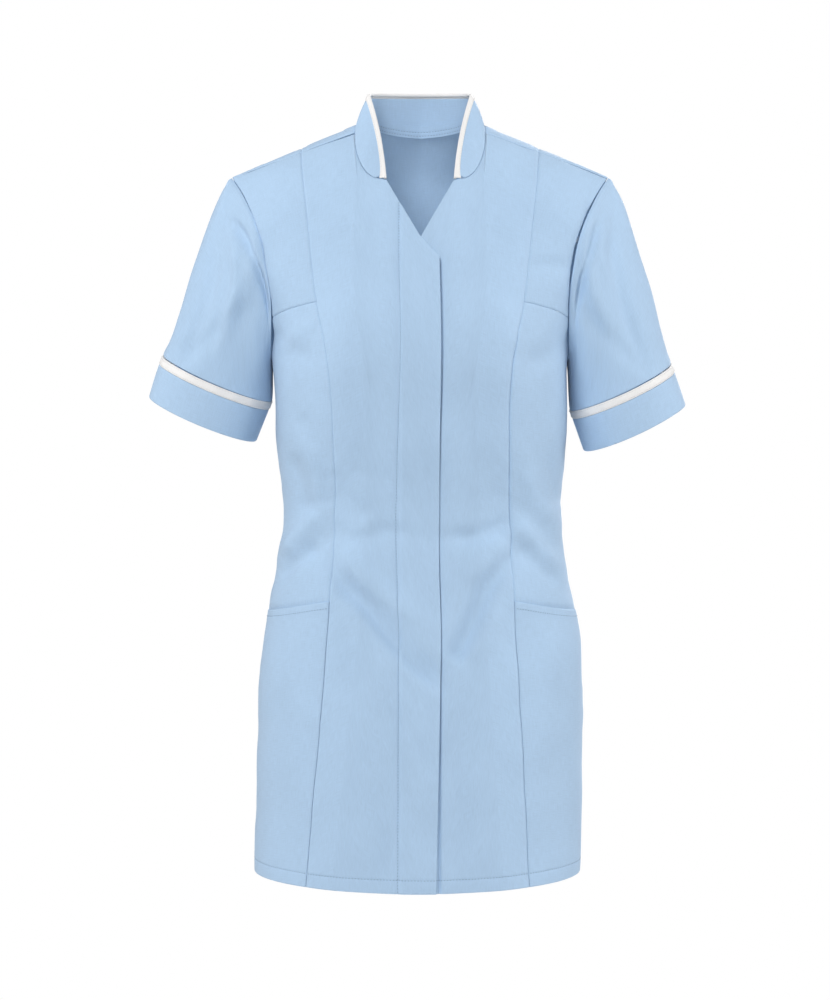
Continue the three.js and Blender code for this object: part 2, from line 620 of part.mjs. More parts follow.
// The same, in millimetres up from the neck seam or down from the edge.
const aboveSeam = (round, up) => collarPoint(round, up / collarHeight(round));
const belowEdge = (round, down) => collarPoint(round, 1 - down / collarHeight(round));
const mirroredColumns = (half) => [...half.slice(1).map((round) => -round).reverse(), ...half];
const frontRound = FRONT_NECK.slice(1, -1).map((share) => 1 + share);
const COLLAR_ROUND = mirroredColumns([...BACK_NECK, ...frontRound]);
const BINDING_ROUND = mirroredColumns([...BACK_NECK, ...frontRound, 1.98]);
const TAPE_ROUND = mirroredColumns(BACK_NECK);
{
  const top = (round) => collarHeight(round) - BINDING - COLLAR_GAP;
  const body = (round, share) => aboveSeam(round, lerp(COLLAR_GAP, top(round), share));
  addWall("collar", body, COLLAR_ROUND, [1, 0.5, 0], { look: "cloth" });
  const binding = (round, share) => belowEdge(round, lerp(BINDING, 0, share));
  addWall("collar_trim", binding, BINDING_ROUND, [1, 0], { wall: BINDING_WALL, lift: 0.3, look: "contrast" });
  const tape = (round, share) => aboveSeam(round, lerp(1, 1 + NECK_TAPE, share));
  addWall("neck_tape", tape, TAPE_ROUND, [1, 0], { wall: TAPE_WALL, lift: -LAYER - 0.8, look: "cloth" });
}

export default tunic;
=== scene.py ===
"""A short-sleeved work tunic with a mandarin collar, hollow as it is worn.

Every cloth piece is a grid surface on the body's sections or on a sleeve or collar, with its own folds, seam valleys,
turned edges and stitches. The tables hold millimetres; meshes are made in metres. The front faces -Y and the
wearer's left is +X."""
import bpy
import numpy as np
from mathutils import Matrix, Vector


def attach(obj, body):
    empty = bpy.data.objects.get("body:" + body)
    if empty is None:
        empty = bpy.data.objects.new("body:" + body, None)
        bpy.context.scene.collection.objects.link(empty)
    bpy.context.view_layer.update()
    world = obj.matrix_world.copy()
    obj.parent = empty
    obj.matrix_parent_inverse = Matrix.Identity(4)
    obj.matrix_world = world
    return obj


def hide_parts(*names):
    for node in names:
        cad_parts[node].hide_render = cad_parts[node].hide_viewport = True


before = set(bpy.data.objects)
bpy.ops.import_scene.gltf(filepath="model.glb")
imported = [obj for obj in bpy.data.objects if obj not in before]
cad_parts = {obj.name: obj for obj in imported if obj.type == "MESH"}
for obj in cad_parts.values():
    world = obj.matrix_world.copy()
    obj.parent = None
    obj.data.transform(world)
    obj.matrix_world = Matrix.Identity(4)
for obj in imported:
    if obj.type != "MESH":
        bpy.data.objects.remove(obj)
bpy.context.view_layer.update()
MM = 0.001

# ---- the tunic's own sizes
CLOTH = 0.55
SEAM_GAP = 0.3
HEM_Z = -742.0
UNDERARM_Z = -226.0
SHOULDER_TIP_Z = -44.6
POCKET_Z = {"seam": -465.0, "side": -476.0}
SECTION_COLUMNS = ("z", "half", "centre", "front", "back", "square")
SECTIONS = np.array([
    (45, 188, 0, 44, 52, 2.4),
    (0, 188, 0, 57, 66, 2.4),
    (-46, 188, 0, 70, 86, 2.4),
    (-80, 187, 0, 82, 95, 2.4),
    (-125, 172, 0, 98, 102, 2.4),
    (-170, 156, 0, 113, 105, 2.4),
    (-226, 147, 0, 122, 103, 2.4),
    (-300, 145.5, 1, 119, 95, 2.35),
    (-380, 138, 2.5, 107, 87, 2.25),
    (-443, 147, 1.5, 111, 97, 2.25),
    (-510, 158, 1.5, 119, 113, 2.3),
    (-600, 162.5, 0, 125, 123, 2.3),
    (-742, 162, -2.5, 128, 123, 2.3),
], float)
PRINCESS = np.array([
    (-24, 118), (-113, 108), (-178, 100), (-215, 92.5), (-257, 86.5),
    (-320, 85), (-390, 86), (-465, 89), (-570, 96), (-742, 108),
], float)
BACK_PRINCESS = np.array([(-16, 118), (-113, 104), (-226, 85), (-384, 73), (-500, 83), (-742, 98)], float)
FRONT_EDGE = np.array([(-134, 18.5), (-225, 20), (-385, 15.5), (-490, 18), (-742, 17.5)], float)
RIDGE = {"neck_x": 65.0, "neck_z": 7.0, "fall": 0.4163, "rounding": 75.0}
SEAM_FORWARD = {"neck": 11.0, "tip": 1.5}
HEM_CURVE = {"rise": 7.0, "below": -560.0}
CUP = {"x": 78.0, "z": -222.0, "wide": 54.0, "tall": 62.0, "deep": 11.0}
ARMHOLE = {"front": 56.0, "back": 60.0}
BUST_SEAM_Z = -176.0
UNDERLAP = 17.0
PLACKET = 39.0
HPS = (65.0, -4.0)  # x and z where the shoulder seam meets the neck
NECK_END = (40.0, -54.0)  # x and z of the collar's front end
V_TOP = (32.5, -56.0)
V_MIDDLE_Z = -113.0
V_BELOW = 1.13  # slope of the V past the middle
BACK_NECK_Z = 3.0
COLLAR = {"half": 51.0, "y": -8.0, "depth": 52.0, "back_z": 46.0, "corner_z": 35.0, "corner": 103.0, "bow": 2.0}
COLLAR_BEND = np.array([36.0, -52.0, -8.0])
BINDING = 7.0
NECK_TAPE = 10.0
SLEEVES = {
    "right": {"side": -1, "lean": 20.5, "tilt": 23.0, "cuff": (218.0, 12.0, -285.0), "across": 58.0, "deep": 50.0},
    "left": {"side": 1, "lean": 18.0, "tilt": 25.0, "cuff": (214.5, 12.0, -294.0), "across": 55.0, "deep": 53.0},
}
SLEEVE_LEAVES = {"top": 41.0, "underarm": 2.0}  # degrees from straight down, at the armhole
CUFF = 34.0
STRIP = 8.2
CUFF_DIP = 8.0


# ---- curves and the body's surface
def follow(table, column, z):
    """A smooth curve through a table's rows: cubic pieces whose slope at a row comes from its two neighbours."""
    at, value = table[:, 0], table[:, column]
    slope = np.empty_like(value)
    slope[1:-1] = (value[2:] - value[:-2]) / (at[2:] - at[:-2])
    slope[0] = (value[1] - value[0]) / (at[1] - at[0])
    slope[-1] = (value[-1] - value[-2]) / (at[-1] - at[-2])
    z = np.asarray(z, float)
    i = np.clip(np.searchsorted(-at, -z, side="left") - 1, 0, len(at) - 2)
    span = at[i + 1] - at[i]
    t = np.clip((z - at[i]) / span, 0, 1)
    return ((2 * t**3 - 3 * t**2 + 1) * value[i] + (t**3 - 2 * t**2 + t) * span * slope[i]
            + (3 * t**2 - 2 * t**3) * value[i + 1] + (t**3 - t**2) * span * slope[i + 1])


def smooth(x, low, high):
    t = np.clip((x - low) / (high - low), 0, 1)
    return t * t * (3 - 2 * t)


def bell(distance, wide):
    return np.exp(-((distance / wide) ** 2))


def pucker(along, away, high, short, long, wide, sway=2):
    """Small gathers beside a row of stitches: a sine along it, whose phase sways by a slower sine, in a bell curve of
    the distance away."""
    return high * np.sin(along / short + sway * np.sin(along / long)) * bell(away, wide)


def section(name, z):
    return follow(SECTIONS, SECTION_COLUMNS.index(name), z)


def ridge_z(x):
    return RIDGE["neck_z"] - RIDGE["fall"] * (np.abs(x) - RIDGE["neck_x"])


TIP_HALF = float(section("half", SHOULDER_TIP_Z))
ARMHOLE_HALF = (SHOULDER_TIP_Z - UNDERARM_Z) / 2
ARMHOLE_CENTRE = (SHOULDER_TIP_Z + UNDERARM_Z) / 2


def seam_drop(x):
    """How far below the ridge the shoulder seam runs, in front: a straight change from the neck to the tip."""
    share = (np.abs(x) - RIDGE["neck_x"]) / (TIP_HALF - RIDGE["neck_x"])
    return SEAM_FORWARD["neck"] + (SEAM_FORWARD["tip"] - SEAM_FORWARD["neck"]) * share


def body(turn, height):
    """A point of the body: a superellipse at each height, pinched forward and back to a rounded ridge along the
    shoulders, with a soft bump at each bust cup. A height above the ridge counts on over it, down the other side.
    Low down the cloth rises to the sides by the square of the share across."""
    square = section("square", height)
    sine, cosine = np.sin(turn), np.cos(turn)
    across = np.sign(sine) * np.abs(sine) ** (2 / square)
    x = section("half", height) * across
    rise = HEM_CURVE["rise"] * across**2 * smooth(-height, -HEM_CURVE["below"], -HEM_Z)
    through = np.abs(cosine) ** (2 / square)
    below = ridge_z(x) - height
    z = ridge_z(x) - np.abs(below)
    in_front = (cosine > 0) == (below > 0)
    rounded = np.sqrt(1 - (1 - np.minimum(np.abs(below) / RIDGE["rounding"], 1)) ** 2)
    cup = CUP["deep"] * np.exp(-((np.abs(x) - CUP["x"]) / CUP["wide"]) ** 2 - ((z - CUP["z"]) / CUP["tall"]) ** 2)
    depth = np.where(in_front, -(section("front", z) + cup), section("back", z))
    return np.stack([x + section("centre", z), depth * through * rounded, z + rise], -1)


def turn_at(x, height):
    share = np.minimum(np.abs(x) / section("half", height), 1)
    return np.sign(x) * np.arcsin(share ** (section("square", height) / 2))


def unit(v):
    return v / np.maximum(np.linalg.norm(v, axis=-1, keepdims=True), 1e-9)


def outward(surface, a, b, step_a, step_b):
    """The outward direction of a surface of two numbers: the cross product of its two slopes."""
    along_a = surface(a + step_a, b) - surface(a - step_a, b)
    along_b = surface(a, b + step_b) - surface(a, b - step_b)
    return unit(np.cross(along_a, along_b))


def armhole(angle):
    """The armhole's turn and height at an angle round its oval: 0 at the tip, positive down the front."""
    height = ARMHOLE_CENTRE + ARMHOLE_HALF * np.cos(angle)
    front = np.asarray(angle) > 0
    reach = np.abs(np.sin(angle)) * np.where(front, ARMHOLE["front"], ARMHOLE["back"])
    share = reach / np.where(front, section("front", height), section("back", height))
    turn = np.arccos(share ** (section("square", height) / 2))
    return np.where(front, turn, np.pi - turn), height


# ---- folds
def bent_path(points, n=28):
    """A dense smooth path through a few points: the cubic of follow, on each coordinate."""
    points = np.array(points, float)
    at = np.arange(len(points), dtype=float)
    t = np.linspace(0, len(points) - 1, n)
    table = np.column_stack([-at, points])
    return np.column_stack([follow(table, 1 + k, -t) for k in range(points.shape[1])])


def crease(u, v, points, high, wide, narrow=None, ends=0.25):
    """One soft ridge (high over 0) or trough (under 0) along a path: a bell curve of the distance from the path,
    wide on its left side and narrow on its right, fading towards both ends."""
    path = bent_path(points)
    narrow = wide if narrow is None else narrow
    best = np.full(u.shape, 1e9)
    side = np.zeros(u.shape)
    along = np.zeros(u.shape)
    n = len(path) - 1
    for k in range(n):
        a, b = path[k], path[k + 1]
        d = b - a
        t = np.clip(((u - a[0]) * d[0] + (v - a[1]) * d[1]) / (d @ d), 0, 1)
        px, py = u - (a[0] + t * d[0]), v - (a[1] + t * d[1])
        dist = px * px + py * py
        closer = dist < best
        best = np.where(closer, dist, best)
        side = np.where(closer, (d[0] * py - d[1] * px) / np.hypot(*d), side)
        along = np.where(closer, (k + t) / n, along)
    width = narrow + (wide - narrow) * smooth(side, -4, 4)
    fade = smooth(along, -0.02, ends) * smooth(1 - along, -0.02, ends)
    return high * np.exp(-best / width**2) * (0.25 + 0.75 * fade)


def drift(u, v, seed, waves, long, high):
    """Slow unevenness of worn cloth: a sum of seeded sine waves of different length and direction."""
    chance = np.random.default_rng(seed)
    total = np.zeros(u.shape)
    for _ in range(waves):
        angle = chance.uniform(0, np.pi)
        length = long * chance.uniform(0.6, 1.8)
        phase = chance.uniform(0, 2 * np.pi)
        total = total + np.sin(2 * np.pi * (u * np.cos(angle) + v * np.sin(angle)) / length + phase) * length / long
    return high * total / waves**0.5


FRONT_CREASES = (
    # path in x and z, height, width on each side
    ([(-137, -424), (-116, -397), (-96, -379)], 2.9, 8, 12),
    ([(-143, -447), (-120, -424), (-97, -410)], -2.3, 9, 8),
    ([(-114, -300), (-101, -338), (-97, -372)], 1.5, 8, 12),
    ([(-128, -318), (-117, -352), (-113, -384)], -1.4, 12, 8),
    ([(-84, -426), (-73, -450), (-52, -469), (-26, -502), (8, -534), (22, -546)], -2.9, 13, 8),
    ([(-76, -409), (-58, -440), (-32, -462), (4, -488)], 1.9, 13, 9),
    ([(-84, -350), (-66, -372), (-44, -384)], -1.1, 10, 13),
    ([(103, -330), (112, -366), (131, -391)], 2.0, 9, 12),
    ([(126, -318), (133, -350), (140, -377)], -1.6, 10, 9),
    ([(90, -388), (110, -408), (136, -436)], 2.2, 8, 12),
    ([(94, -408), (116, -430), (140, -452)], -1.9, 10, 9),
    ([(90, -416), (66, -451), (52, -481), (38, -510), (30, -524)], -3.2, 8, 12),
    ([(84, -402), (66, -424), (40, -446)], 1.3, 12, 12),
    ([(84, -352), (68, -380), (52, -396)], -0.5, 12, 10),
    ([(100, -142), (124, -138), (146, -140)], -1.0, 7, 10),
    ([(-150, -196), (-128, -220), (-104, -232)], -1.1, 10, 12),
    ([(148, -198), (126, -224), (104, -240)], -1.3, 10, 12),
    ([(-58, -236), (-52, -292), (-58, -350)], -1.2, 20, 16),
    ([(60, -238), (50, -300), (54, -356)], -1.3, 18, 22),
    ([(-60, -560), (-66, -640), (-58, -728)], 1.2, 24, 20),
    ([(62, -552), (58, -650), (66, -730)], 1.0, 24, 22),
    ([(-132, -520), (-140, -610), (-136, -720)], -1.2, 18, 22),
    ([(134, -530), (140, -620), (138, -716)], -1.1, 20, 18),
    ([(-98, -60), (-78, -92), (-48, -124)], -0.9, 14, 18),
    ([(96, -62), (78, -90), (52, -122)], -0.9, 16, 14),
    ([(162, -63), (155, -91.5), (144.6, -124), (139.6, -152.4), (134.4, -186)], 1.1, 5, 15),
    ([(172, -66), (165, -92), (152, -124), (146, -150)], -0.7, 6, 5),
    ([(-160, -84), (-151, -122), (-138, -168)], 0.9, 14, 7),
    ([(-104, -196), (-122, -208), (-138, -226)], 0.9, 9, 9),
    ([(-120, -284), (-108, -300), (-100, -322)], -0.9, 8, 10),
    ([(70, -176), (84, -196), (92, -230)], 0.8, 10, 14),
    ([(22, -404), (52, -402), (77, -393), (92, -378)], -2.0, 9, 9),
    ([(-88, -350), (-56, -342), (-24, -350)], -0.6, 8, 12),
    ([(-90, -392), (-62, -404), (-30, -396), (2, -404)], -1.2, 8, 11),
    ([(-80, -476), (-64, -520), (-62, -566)], -0.9, 10, 15),
    ([(-24, -560), (-4, -596), (10, -640)], -0.8, 12, 14),
    ([(76, -468), (62, -500), (44, -520)], 0.9, 10, 12),
    ([(-44, -640), (-30, -690), (-36, -738)], -0.9, 8, 14),
    ([(30, -610), (38, -672), (30, -736)], -0.8, 14, 9),
    ([(-36, -62), (-52, -92), (-60, -130)], 0.8, 8, 12),
    ([(38, -64), (54, -88), (60, -128)], 0.9, 12, 8),
)
BACK_CREASES = (
    ([(-136, -420), (-104, -398), (-58, -392)], 2.2, 9, 13),
    ([(-142, -446), (-102, -424), (-50, -420), (-14, -430)], -2.2, 10, 10),
    ([(138, -414), (102, -400), (48, -404)], 2.0, 9, 12),
    ([(140, -440), (110, -428), (62, -430), (22, -422)], -2.1, 10, 12),
    ([(-120, -350), (-84, -362), (-40, -358)], -1.5, 11, 9),
    ([(122, -344), (90, -360), (52, -362), (20, -352)], -1.6, 10, 11),
    ([(-98, -330), (-60, -338), (-22, -330)], 1.2, 10, 12),
    ([(-134, -208), (-112, -248), (-100, -300)], -1.6, 14, 10),
    ([(134, -206), (114, -252), (98, -308)], -1.5, 12, 14),
    ([(-120, -120), (-108, -176), (-112, -224)], 1.3, 16, 12),
    ([(122, -118), (106, -180), (110, -232)], 1.2, 14, 16),
    ([(-46, -470), (-54, -580), (-48, -728)], -1.4, 26, 22),
    ([(52, -478), (46, -590), (56, -728)], -1.3, 24, 26),
    ([(4, -500), (-4, -620), (6, -730)], 1.3, 26, 26),
    ([(-112, -520), (-122, -620), (-116, -722)], 1.1, 20, 24),
    ([(116, -516), (122, -616), (120, -724)], 1.1, 22, 20),
    ([(-58, -34), (-30, -62), (-12, -96)], -0.9, 14, 14),
    ([(60, -32), (34, -60), (14, -98)], -0.9, 14, 14),
)


FOLD_DEPTH = 2.3
UNEVEN = {
    # seed, waves, length, height
    "ahead": (11, 14, 70, 0.34),
    "behind": (23, 14, 70, 0.36),
    "right": (31, 8, 90, 0.4),
    "left": (37, 8, 90, 0.4),
    "collar": (41, 6, 60, 0.16),
}


def folds(u, v, name, creases):
    """The height of the cloth's unevenness and of all its creases."""
    total = drift(u, v, *UNEVEN[name])
    for points, high, wide, narrow in creases:
        total = total + crease(u, v, points, high, wide, narrow)
    return total


def body_folds(place, cosine):
    """The height of the folds at points of the body, which every panel shares, so that a fold crosses its seams."""
    x, z = place[..., 0], place[..., 2]
    front = smooth(cosine, -0.12, 0.12)
    ahead, behind = folds(x, z, "ahead", FRONT_CREASES), folds(x, z, "behind", BACK_CREASES)
    calm = smooth(-z, 20, 90)
    return FOLD_DEPTH * (ahead * front + behind * (1 - front)) * (0.3 + 0.7 * calm)


# ---- meshes
def link(name, verts, faces, uvs, material, smooth_faces=None):
    """A mesh object at the origin from arrays: points in mm, quads, and a UV for each corner in metres."""
    mesh = bpy.data.meshes.new(name)
    mesh.vertices.add(len(verts))
    mesh.vertices.foreach_set("co", (np.asarray(verts) * MM).astype(np.float32).ravel())
    mesh.loops.add(faces.size)
    mesh.loops.foreach_set("vertex_index", faces.astype(np.int32).ravel())
    mesh.polygons.add(len(faces))
    mesh.polygons.foreach_set("loop_start", np.arange(0, faces.size, faces.shape[1], dtype=np.int32))
    mesh.update(calc_edges=True)
    flags = np.ones(len(faces), bool) if smooth_faces is None else smooth_faces
    mesh.polygons.foreach_set("use_smooth", flags)
    layer = mesh.uv_layers.new(name="cloth")
    layer.data.foreach_set("uv", (np.asarray(uvs) * MM).astype(np.float32).ravel())
    mesh.validate()
    made = bpy.data.objects.new(name, mesh)
    bpy.context.scene.collection.objects.link(made)
    mesh.materials.append(material)
    return made


def lengths(grid, axis):
    """Distance along a grid's rows or columns from its first point."""
    steps = np.linalg.norm(np.diff(grid, axis=axis), axis=-1)
    start = np.zeros_like(np.take(steps, [0], axis=axis))
    return np.cumsum(np.concatenate([start, steps], axis=axis), axis=axis)


RIM_UV = np.array([(0, 0), (0, 0), (0, 0.6), (0, 0.6)])  # the rim is a thread's width of the cloth


def shell(name, outer, inner, material, ring=False, turned=False):
    """A closed thin shell from an outer and an inner grid, joined by a rim. UVs are distances along the cloth.
    A grid whose columns run to the left, as seen from outside, has its faces turned."""
    rows, columns = outer.shape[:2]
    total = rows * columns
    wrapped = np.concatenate([outer, outer[:, :1]], 1) if ring else outer
    u = lengths(wrapped, 1)
    u = u - u.mean(axis=1, keepdims=True)
    v = -lengths(wrapped, 0)

    def corners(*places):
        return np.stack([np.stack([u[place], v[place]], -1) for place in places], 1)

    across = columns if ring else columns - 1
    r, c = (k.ravel() for k in np.meshgrid(np.arange(rows - 1), np.arange(across), indexing="ij"))
    n = (c + 1) % columns
    a, b, d, e = r * columns + c, (r + 1) * columns + c, (r + 1) * columns + n, r * columns + n
    skin_uv = corners((r, c), (r + 1, c), (r + 1, c + 1), (r, c + 1))
    faces = [np.stack([a, b, d, e], 1), np.stack([a, e, d, b], 1) + total]
    uvs = [skin_uv, skin_uv[:, [0, 3, 2, 1]]]
    k = np.arange(across)
    m, last, o = (k + 1) % columns, (rows - 1) * columns, 0 * k
    faces += [np.stack([k, m, m + total, k + total], 1),
              np.stack([last + k, last + k + total, last + m + total, last + m], 1)]
    uvs += [corners((o, k), (o, k + 1), (o, k + 1), (o, k)) + RIM_UV] * 2
    if not ring:
        k = np.arange(rows - 1)
        s, f, o = k * columns, k * columns + columns - 1, 0 * k
        faces += [np.stack([s, s + total, s + columns + total, s + columns], 1),
                  np.stack([f, f + columns, f + columns + total, f + total], 1)]
        uvs += [corners((k, o), (k, o), (k + 1, o), (k + 1, o))] * 2
    faces, uvs = np.concatenate(faces), np.concatenate(uvs)
    soft = np.arange(len(faces)) < 2 * len(r)  # the rim is shaded flat
    verts = np.concatenate([outer.reshape(-1, 3), inner.reshape(-1, 3)])
    if turned:
        faces, uvs = faces[:, ::-1], uvs[:, ::-1]
    return link(name, verts, faces, uvs.reshape(-1, 2), material, soft)


def shares(length, step, edge=(0.25, 0.6, 1.1, 1.8, 2.8)):
    """Shares of a length from 0 to 1, evenly about step apart, with finer ones at both ends."""
    inside = edge[-1]
    n = max(int(round((length - 2 * inside) / step)), 2)
    even = np.linspace(inside, length - inside, n + 1)
    return np.concatenate([[0], edge[:-1], even, length - np.array(edge[-2::-1]), [length]]) / length


# closer rows at the hem's stitches
DOWN_EDGE = (0.25, 0.6, 1.1, 1.8, 2.8, 5, 7.4, 10, 11.4, 12.2, 13, 13.8, 14.6, 16)


# ---- panels on the body
def resample(line, at):
    """A line of places, (turn, height), at shares of its number of steps."""
    spot = np.clip(at, 0, 1) * (len(line) - 1)
    i = np.minimum(spot.astype(int), len(line) - 2)
    f = (spot - i)[:, None]
    return line[i] * (1 - f) + line[i + 1] * f


def meet(shares_of_edge, corners):
    """The same shares with the nearest one moved onto each corner of the edge, so that no corner is cut off."""
    moved = shares_of_edge.copy()
    for corner in corners:
        moved[np.abs(moved - corner).argmin()] = corner
    return moved


EVEN = 200  # even steps along a top edge, to smooth its corners in
REACH = 40  # steps to either side that an average takes in


def patch(top, start, end, across, down, top_corners=(), side_corners=()):
    """Places of a panel between three edge lines and a straight hem: both blends less the blend of the corners. Away
    from the top edge its corners are smoothed, by a bell-shaped average along it, so that they don't run down."""
    bottom = np.stack([start[-1], end[-1]])
    across, down = meet(across, top_corners), meet(down, side_corners)
    t, b = resample(top, across), resample(bottom, across)
    s, e = resample(start, down), resample(end, down)
    a, d = across[None, :, None], down[:, None, None]
    even = np.linspace(0, 1, EVEN + 1)
    bend = resample(top, even) - (top[0] + (top[-1] - top[0]) * even[:, None])
    odd = np.concatenate([-bend[:0:-1], bend, -bend[-2::-1]])
    weight = bell(np.arange(-REACH, REACH + 1), 14)
    smoothed = [np.convolve(odd[:, k], weight / weight.sum(), "same")[EVEN:2 * EVEN + 1] for k in (0, 1)]
    calm = np.column_stack([np.interp(across, even, value) for value in smoothed])
    calm = calm + top[0] + (top[-1] - top[0]) * across[:, None]
    deep = smooth(d, 0.02, 0.22)
    t = t[None] * (1 - deep) + calm[None] * deep
    corners = (top[0] * (1 - a) + top[-1] * a) * (1 - d) + (bottom[0] * (1 - a) + bottom[-1] * a) * d
    return t * (1 - d) + b[None] * d + s[:, None] * (1 - a) + e[:, None] * a - corners


def lines(turn, height):
    return np.column_stack([turn, height])


def princess(heights, offset):
    return lines(turn_at(follow(PRINCESS, 1, heights) + offset, heights), heights)


def side_seam(heights, offset):
    return lines(np.pi / 2 + offset / section("front", heights), heights)


def valley(distance, deep=0.75, wide=1.3):
    """The cloth rolls in at a seam or under a row of stitches: a bell curve of the distance from it."""
    return -deep * bell(distance, wide)


def from_line(points, line):
    """The distance of each point of a grid from a line of straight pieces: the least over the pieces."""
    start, step = line[:-1], np.diff(line, axis=0)
    away = points[..., None, :] - start
    t = np.clip((away * step).sum(-1) / np.maximum((step**2).sum(-1), 1e-9), 0, 1)
    return np.linalg.norm(away - t[..., None] * step, axis=-1).min(-1)


ALLOWANCE = {"across": 1.5, "deep": 0.95}
SEWN_IN = (0.6, 1.1)  # depth and width of the valley at a seam
TURNED = {"wall": 0.6, "raised": 0.18, "lip": (0.45, 0.5)}  # a second layer, and how its edge rolls in
SEWN = dict.fromkeys(("start", "end", "top", "bottom"), "sewn")
BODY_STEPS = (0.004, 0.4)  # in turn and height, for the body's slopes
NEAR_TOP = 26  # rows whose distance from a bent top edge is measured straight to it


def build_panel(name, places, side, edges, detail, lift=None, tucked=None):
    """A panel's shell: the body's points at its places, moved out by lift, folds, seam valleys and grooves.
    edges says what its edges are: sewn, or turned (folded under and pressed). tucked names the edges that go on under
    a neighbour as the seam's allowance, and how far they do at each height (0 to 1)."""
    turn, height = side * places[..., 0], places[..., 1]
    base = body(turn, height)
    normal = outward(body, turn, height, *BODY_STEPS)
    out = body_folds(base, np.cos(turn))
    if lift is not None:
        out = out + lift(base)
    distance = {"start": lengths(base, 1), "top": lengths(base, 0)}
    distance["end"] = distance["start"][:, -1:] - distance["start"]
    distance["bottom"] = distance["top"][-1:] - distance["top"]
    near = min(NEAR_TOP, len(base))
    distance["top"][:near] = from_line(base[:near], base[0])
    wall = np.full(turn.shape, CLOTH)
    for edge, kind in edges.items():
        d = distance[edge]
        if kind == "sewn":
            out = out + valley(d, *SEWN_IN)
            if edge in ("start", "end"):
                out = out + pucker(height, d - 3, high=0.2, short=5.3, long=29, wide=5)
        if kind == "turned":
            doubled = 1 - smooth(d, 9, 12)
            wall = wall + TURNED["wall"] * doubled
            out = out + TURNED["raised"] * doubled + valley(d, *TURNED["lip"])
    if detail is not None:
        out = out + detail(base, distance)
    outer = base + normal * out[..., None]
    for edge, share in (tucked or {}).items():
        last, before = (0, 2) if edge == "start" else (-1, -3)
        beyond = unit(outer[:, last] - outer[:, before]) * ALLOWANCE["across"] - normal[:, last] * ALLOWANCE["deep"]
        outer[:, last] += share(base[:, last, 2])[:, None] * beyond
    inner = outer - normal * wall[..., None]
    pieces[name] = shell(f"{name}_cloth", outer, inner, blue_cloth, turned=side < 0)
    return {"outer": outer, "normal": normal, "base": base, **distance}


def trace(panel, field, value, skip=2):
    """Where a field over a panel's grid passes a value: one place in each of its columns, between two rows."""
    columns = np.arange(skip, field.shape[1] - skip)
    k = np.clip((field < value).sum(0), 1, len(field) - 1)[columns]
    low, high = field[k - 1, columns], field[k, columns]
    t = ((value - low) / (high - low))[:, None]
    outer, normal = panel["outer"], panel["normal"]
    return (outer[k - 1, columns] * (1 - t) + outer[k, columns] * t,
            normal[k - 1, columns] * (1 - t) + normal[k, columns] * t)


def crosswise(panel):
    """The same panel with rows and columns exchanged, so that trace runs down it."""
    return {key: panel[key].swapaxes(0, 1) for key in ("outer", "normal")}


# ---- materials
def node(tree, kind, inputs=None, **values):
    """A node with its properties set, and its inputs set to constants or linked to outputs."""
    made = tree.nodes.new(kind)
    for key, value in values.items():
        setattr(made, key, value)
    plug(tree, made, inputs or {})
    return made


def plug(tree, made, inputs):
    for key, value in inputs.items():
        if isinstance(value, bpy.types.NodeSocket):
            tree.links.new(value, made.inputs[key])
        else:
            made.inputs[key].default_value = value


def math_node(tree, operation, *values):
    return node(tree, "ShaderNodeMath", dict(enumerate(values)), operation=operation).outputs[0]


def bump(tree, height, strength, distance, **under):
    inputs = {"Strength": strength, "Distance": distance, "Height": height, **under}
    return node(tree, "ShaderNodeBump", inputs).outputs[0]


def new_material(name):
    material = bpy.data.materials.new(name)
    material.use_nodes = True
    return material, material.node_tree, material.node_tree.nodes["Principled BSDF"]


def ramp(tree, factor, dark, light):
    made = node(tree, "ShaderNodeValToRGB", {0: factor})
    made.color_ramp.elements[0].color = (*dark, 1)
    made.color_ramp.elements[1].color = (*light, 1)
    return made


def woven(name, colour, light, dark):
    """Plain-woven cloth. Warp and weft pass over and under each other: the product of a sine across and a sine along
    the cloth, at the thread's width. Slubs are noise drawn out along the threads, and the dye varies slowly."""
    material, tree, shader = new_material(name)
    uv = node(tree, "ShaderNodeUVMap", uv_map="cloth").outputs[0]
    parts = node(tree, "ShaderNodeSeparateXYZ", {0: uv}).outputs
    warp, weft = (math_node(tree, "SINE", math_node(tree, "MULTIPLY", parts[k], np.pi / THREAD)) for k in (0, 1))
    over = math_node(tree, "MULTIPLY", warp, weft)

    def slub(stretch, scale, detail):
        stretched = node(tree, "ShaderNodeMapping", {"Vector": uv, "Scale": stretch}).outputs[0]
        noise = node(tree, "ShaderNodeTexNoise", {"Vector": stretched, "Scale": scale, "Detail": detail})
        return noise.outputs["Fac"]

    def blend(first, share, second, other):
        return math_node(tree, "ADD", math_node(tree, "MULTIPLY", first, share),
                         math_node(tree, "MULTIPLY", second, other))

    threads = blend(slub((1.0, 0.06, 1.0), 1500.0, 2.0), 0.5, slub((0.06, 1.0, 1.0), 1500.0, 2.0), 0.5)
    shade = ramp(tree, blend(threads, 0.75, slub((1.0, 1.0, 1.0), 14.0, 5.0), 0.25), dark, light)
    shade.color_ramp.elements[0].position, shade.color_ramp.elements[1].position = 0.3, 0.7
    shade.color_ramp.elements.new(0.5).color = (*colour, 1)
    rumple = bump(tree, slub((1.0, 0.7, 1.0), 42.0, 2.5), 0.5, 0.002)
    relief = bump(tree, blend(over, 0.5, threads, 1.2), 0.35, 0.00025, Normal=rumple)
    plug(tree, shader, {"Roughness": 0.82, "Specular IOR Level": 0.25, "Sheen Weight": 0.12, "Sheen Roughness": 0.5,
                        "Base Color": shade.outputs[0], "Normal": relief})
    return material


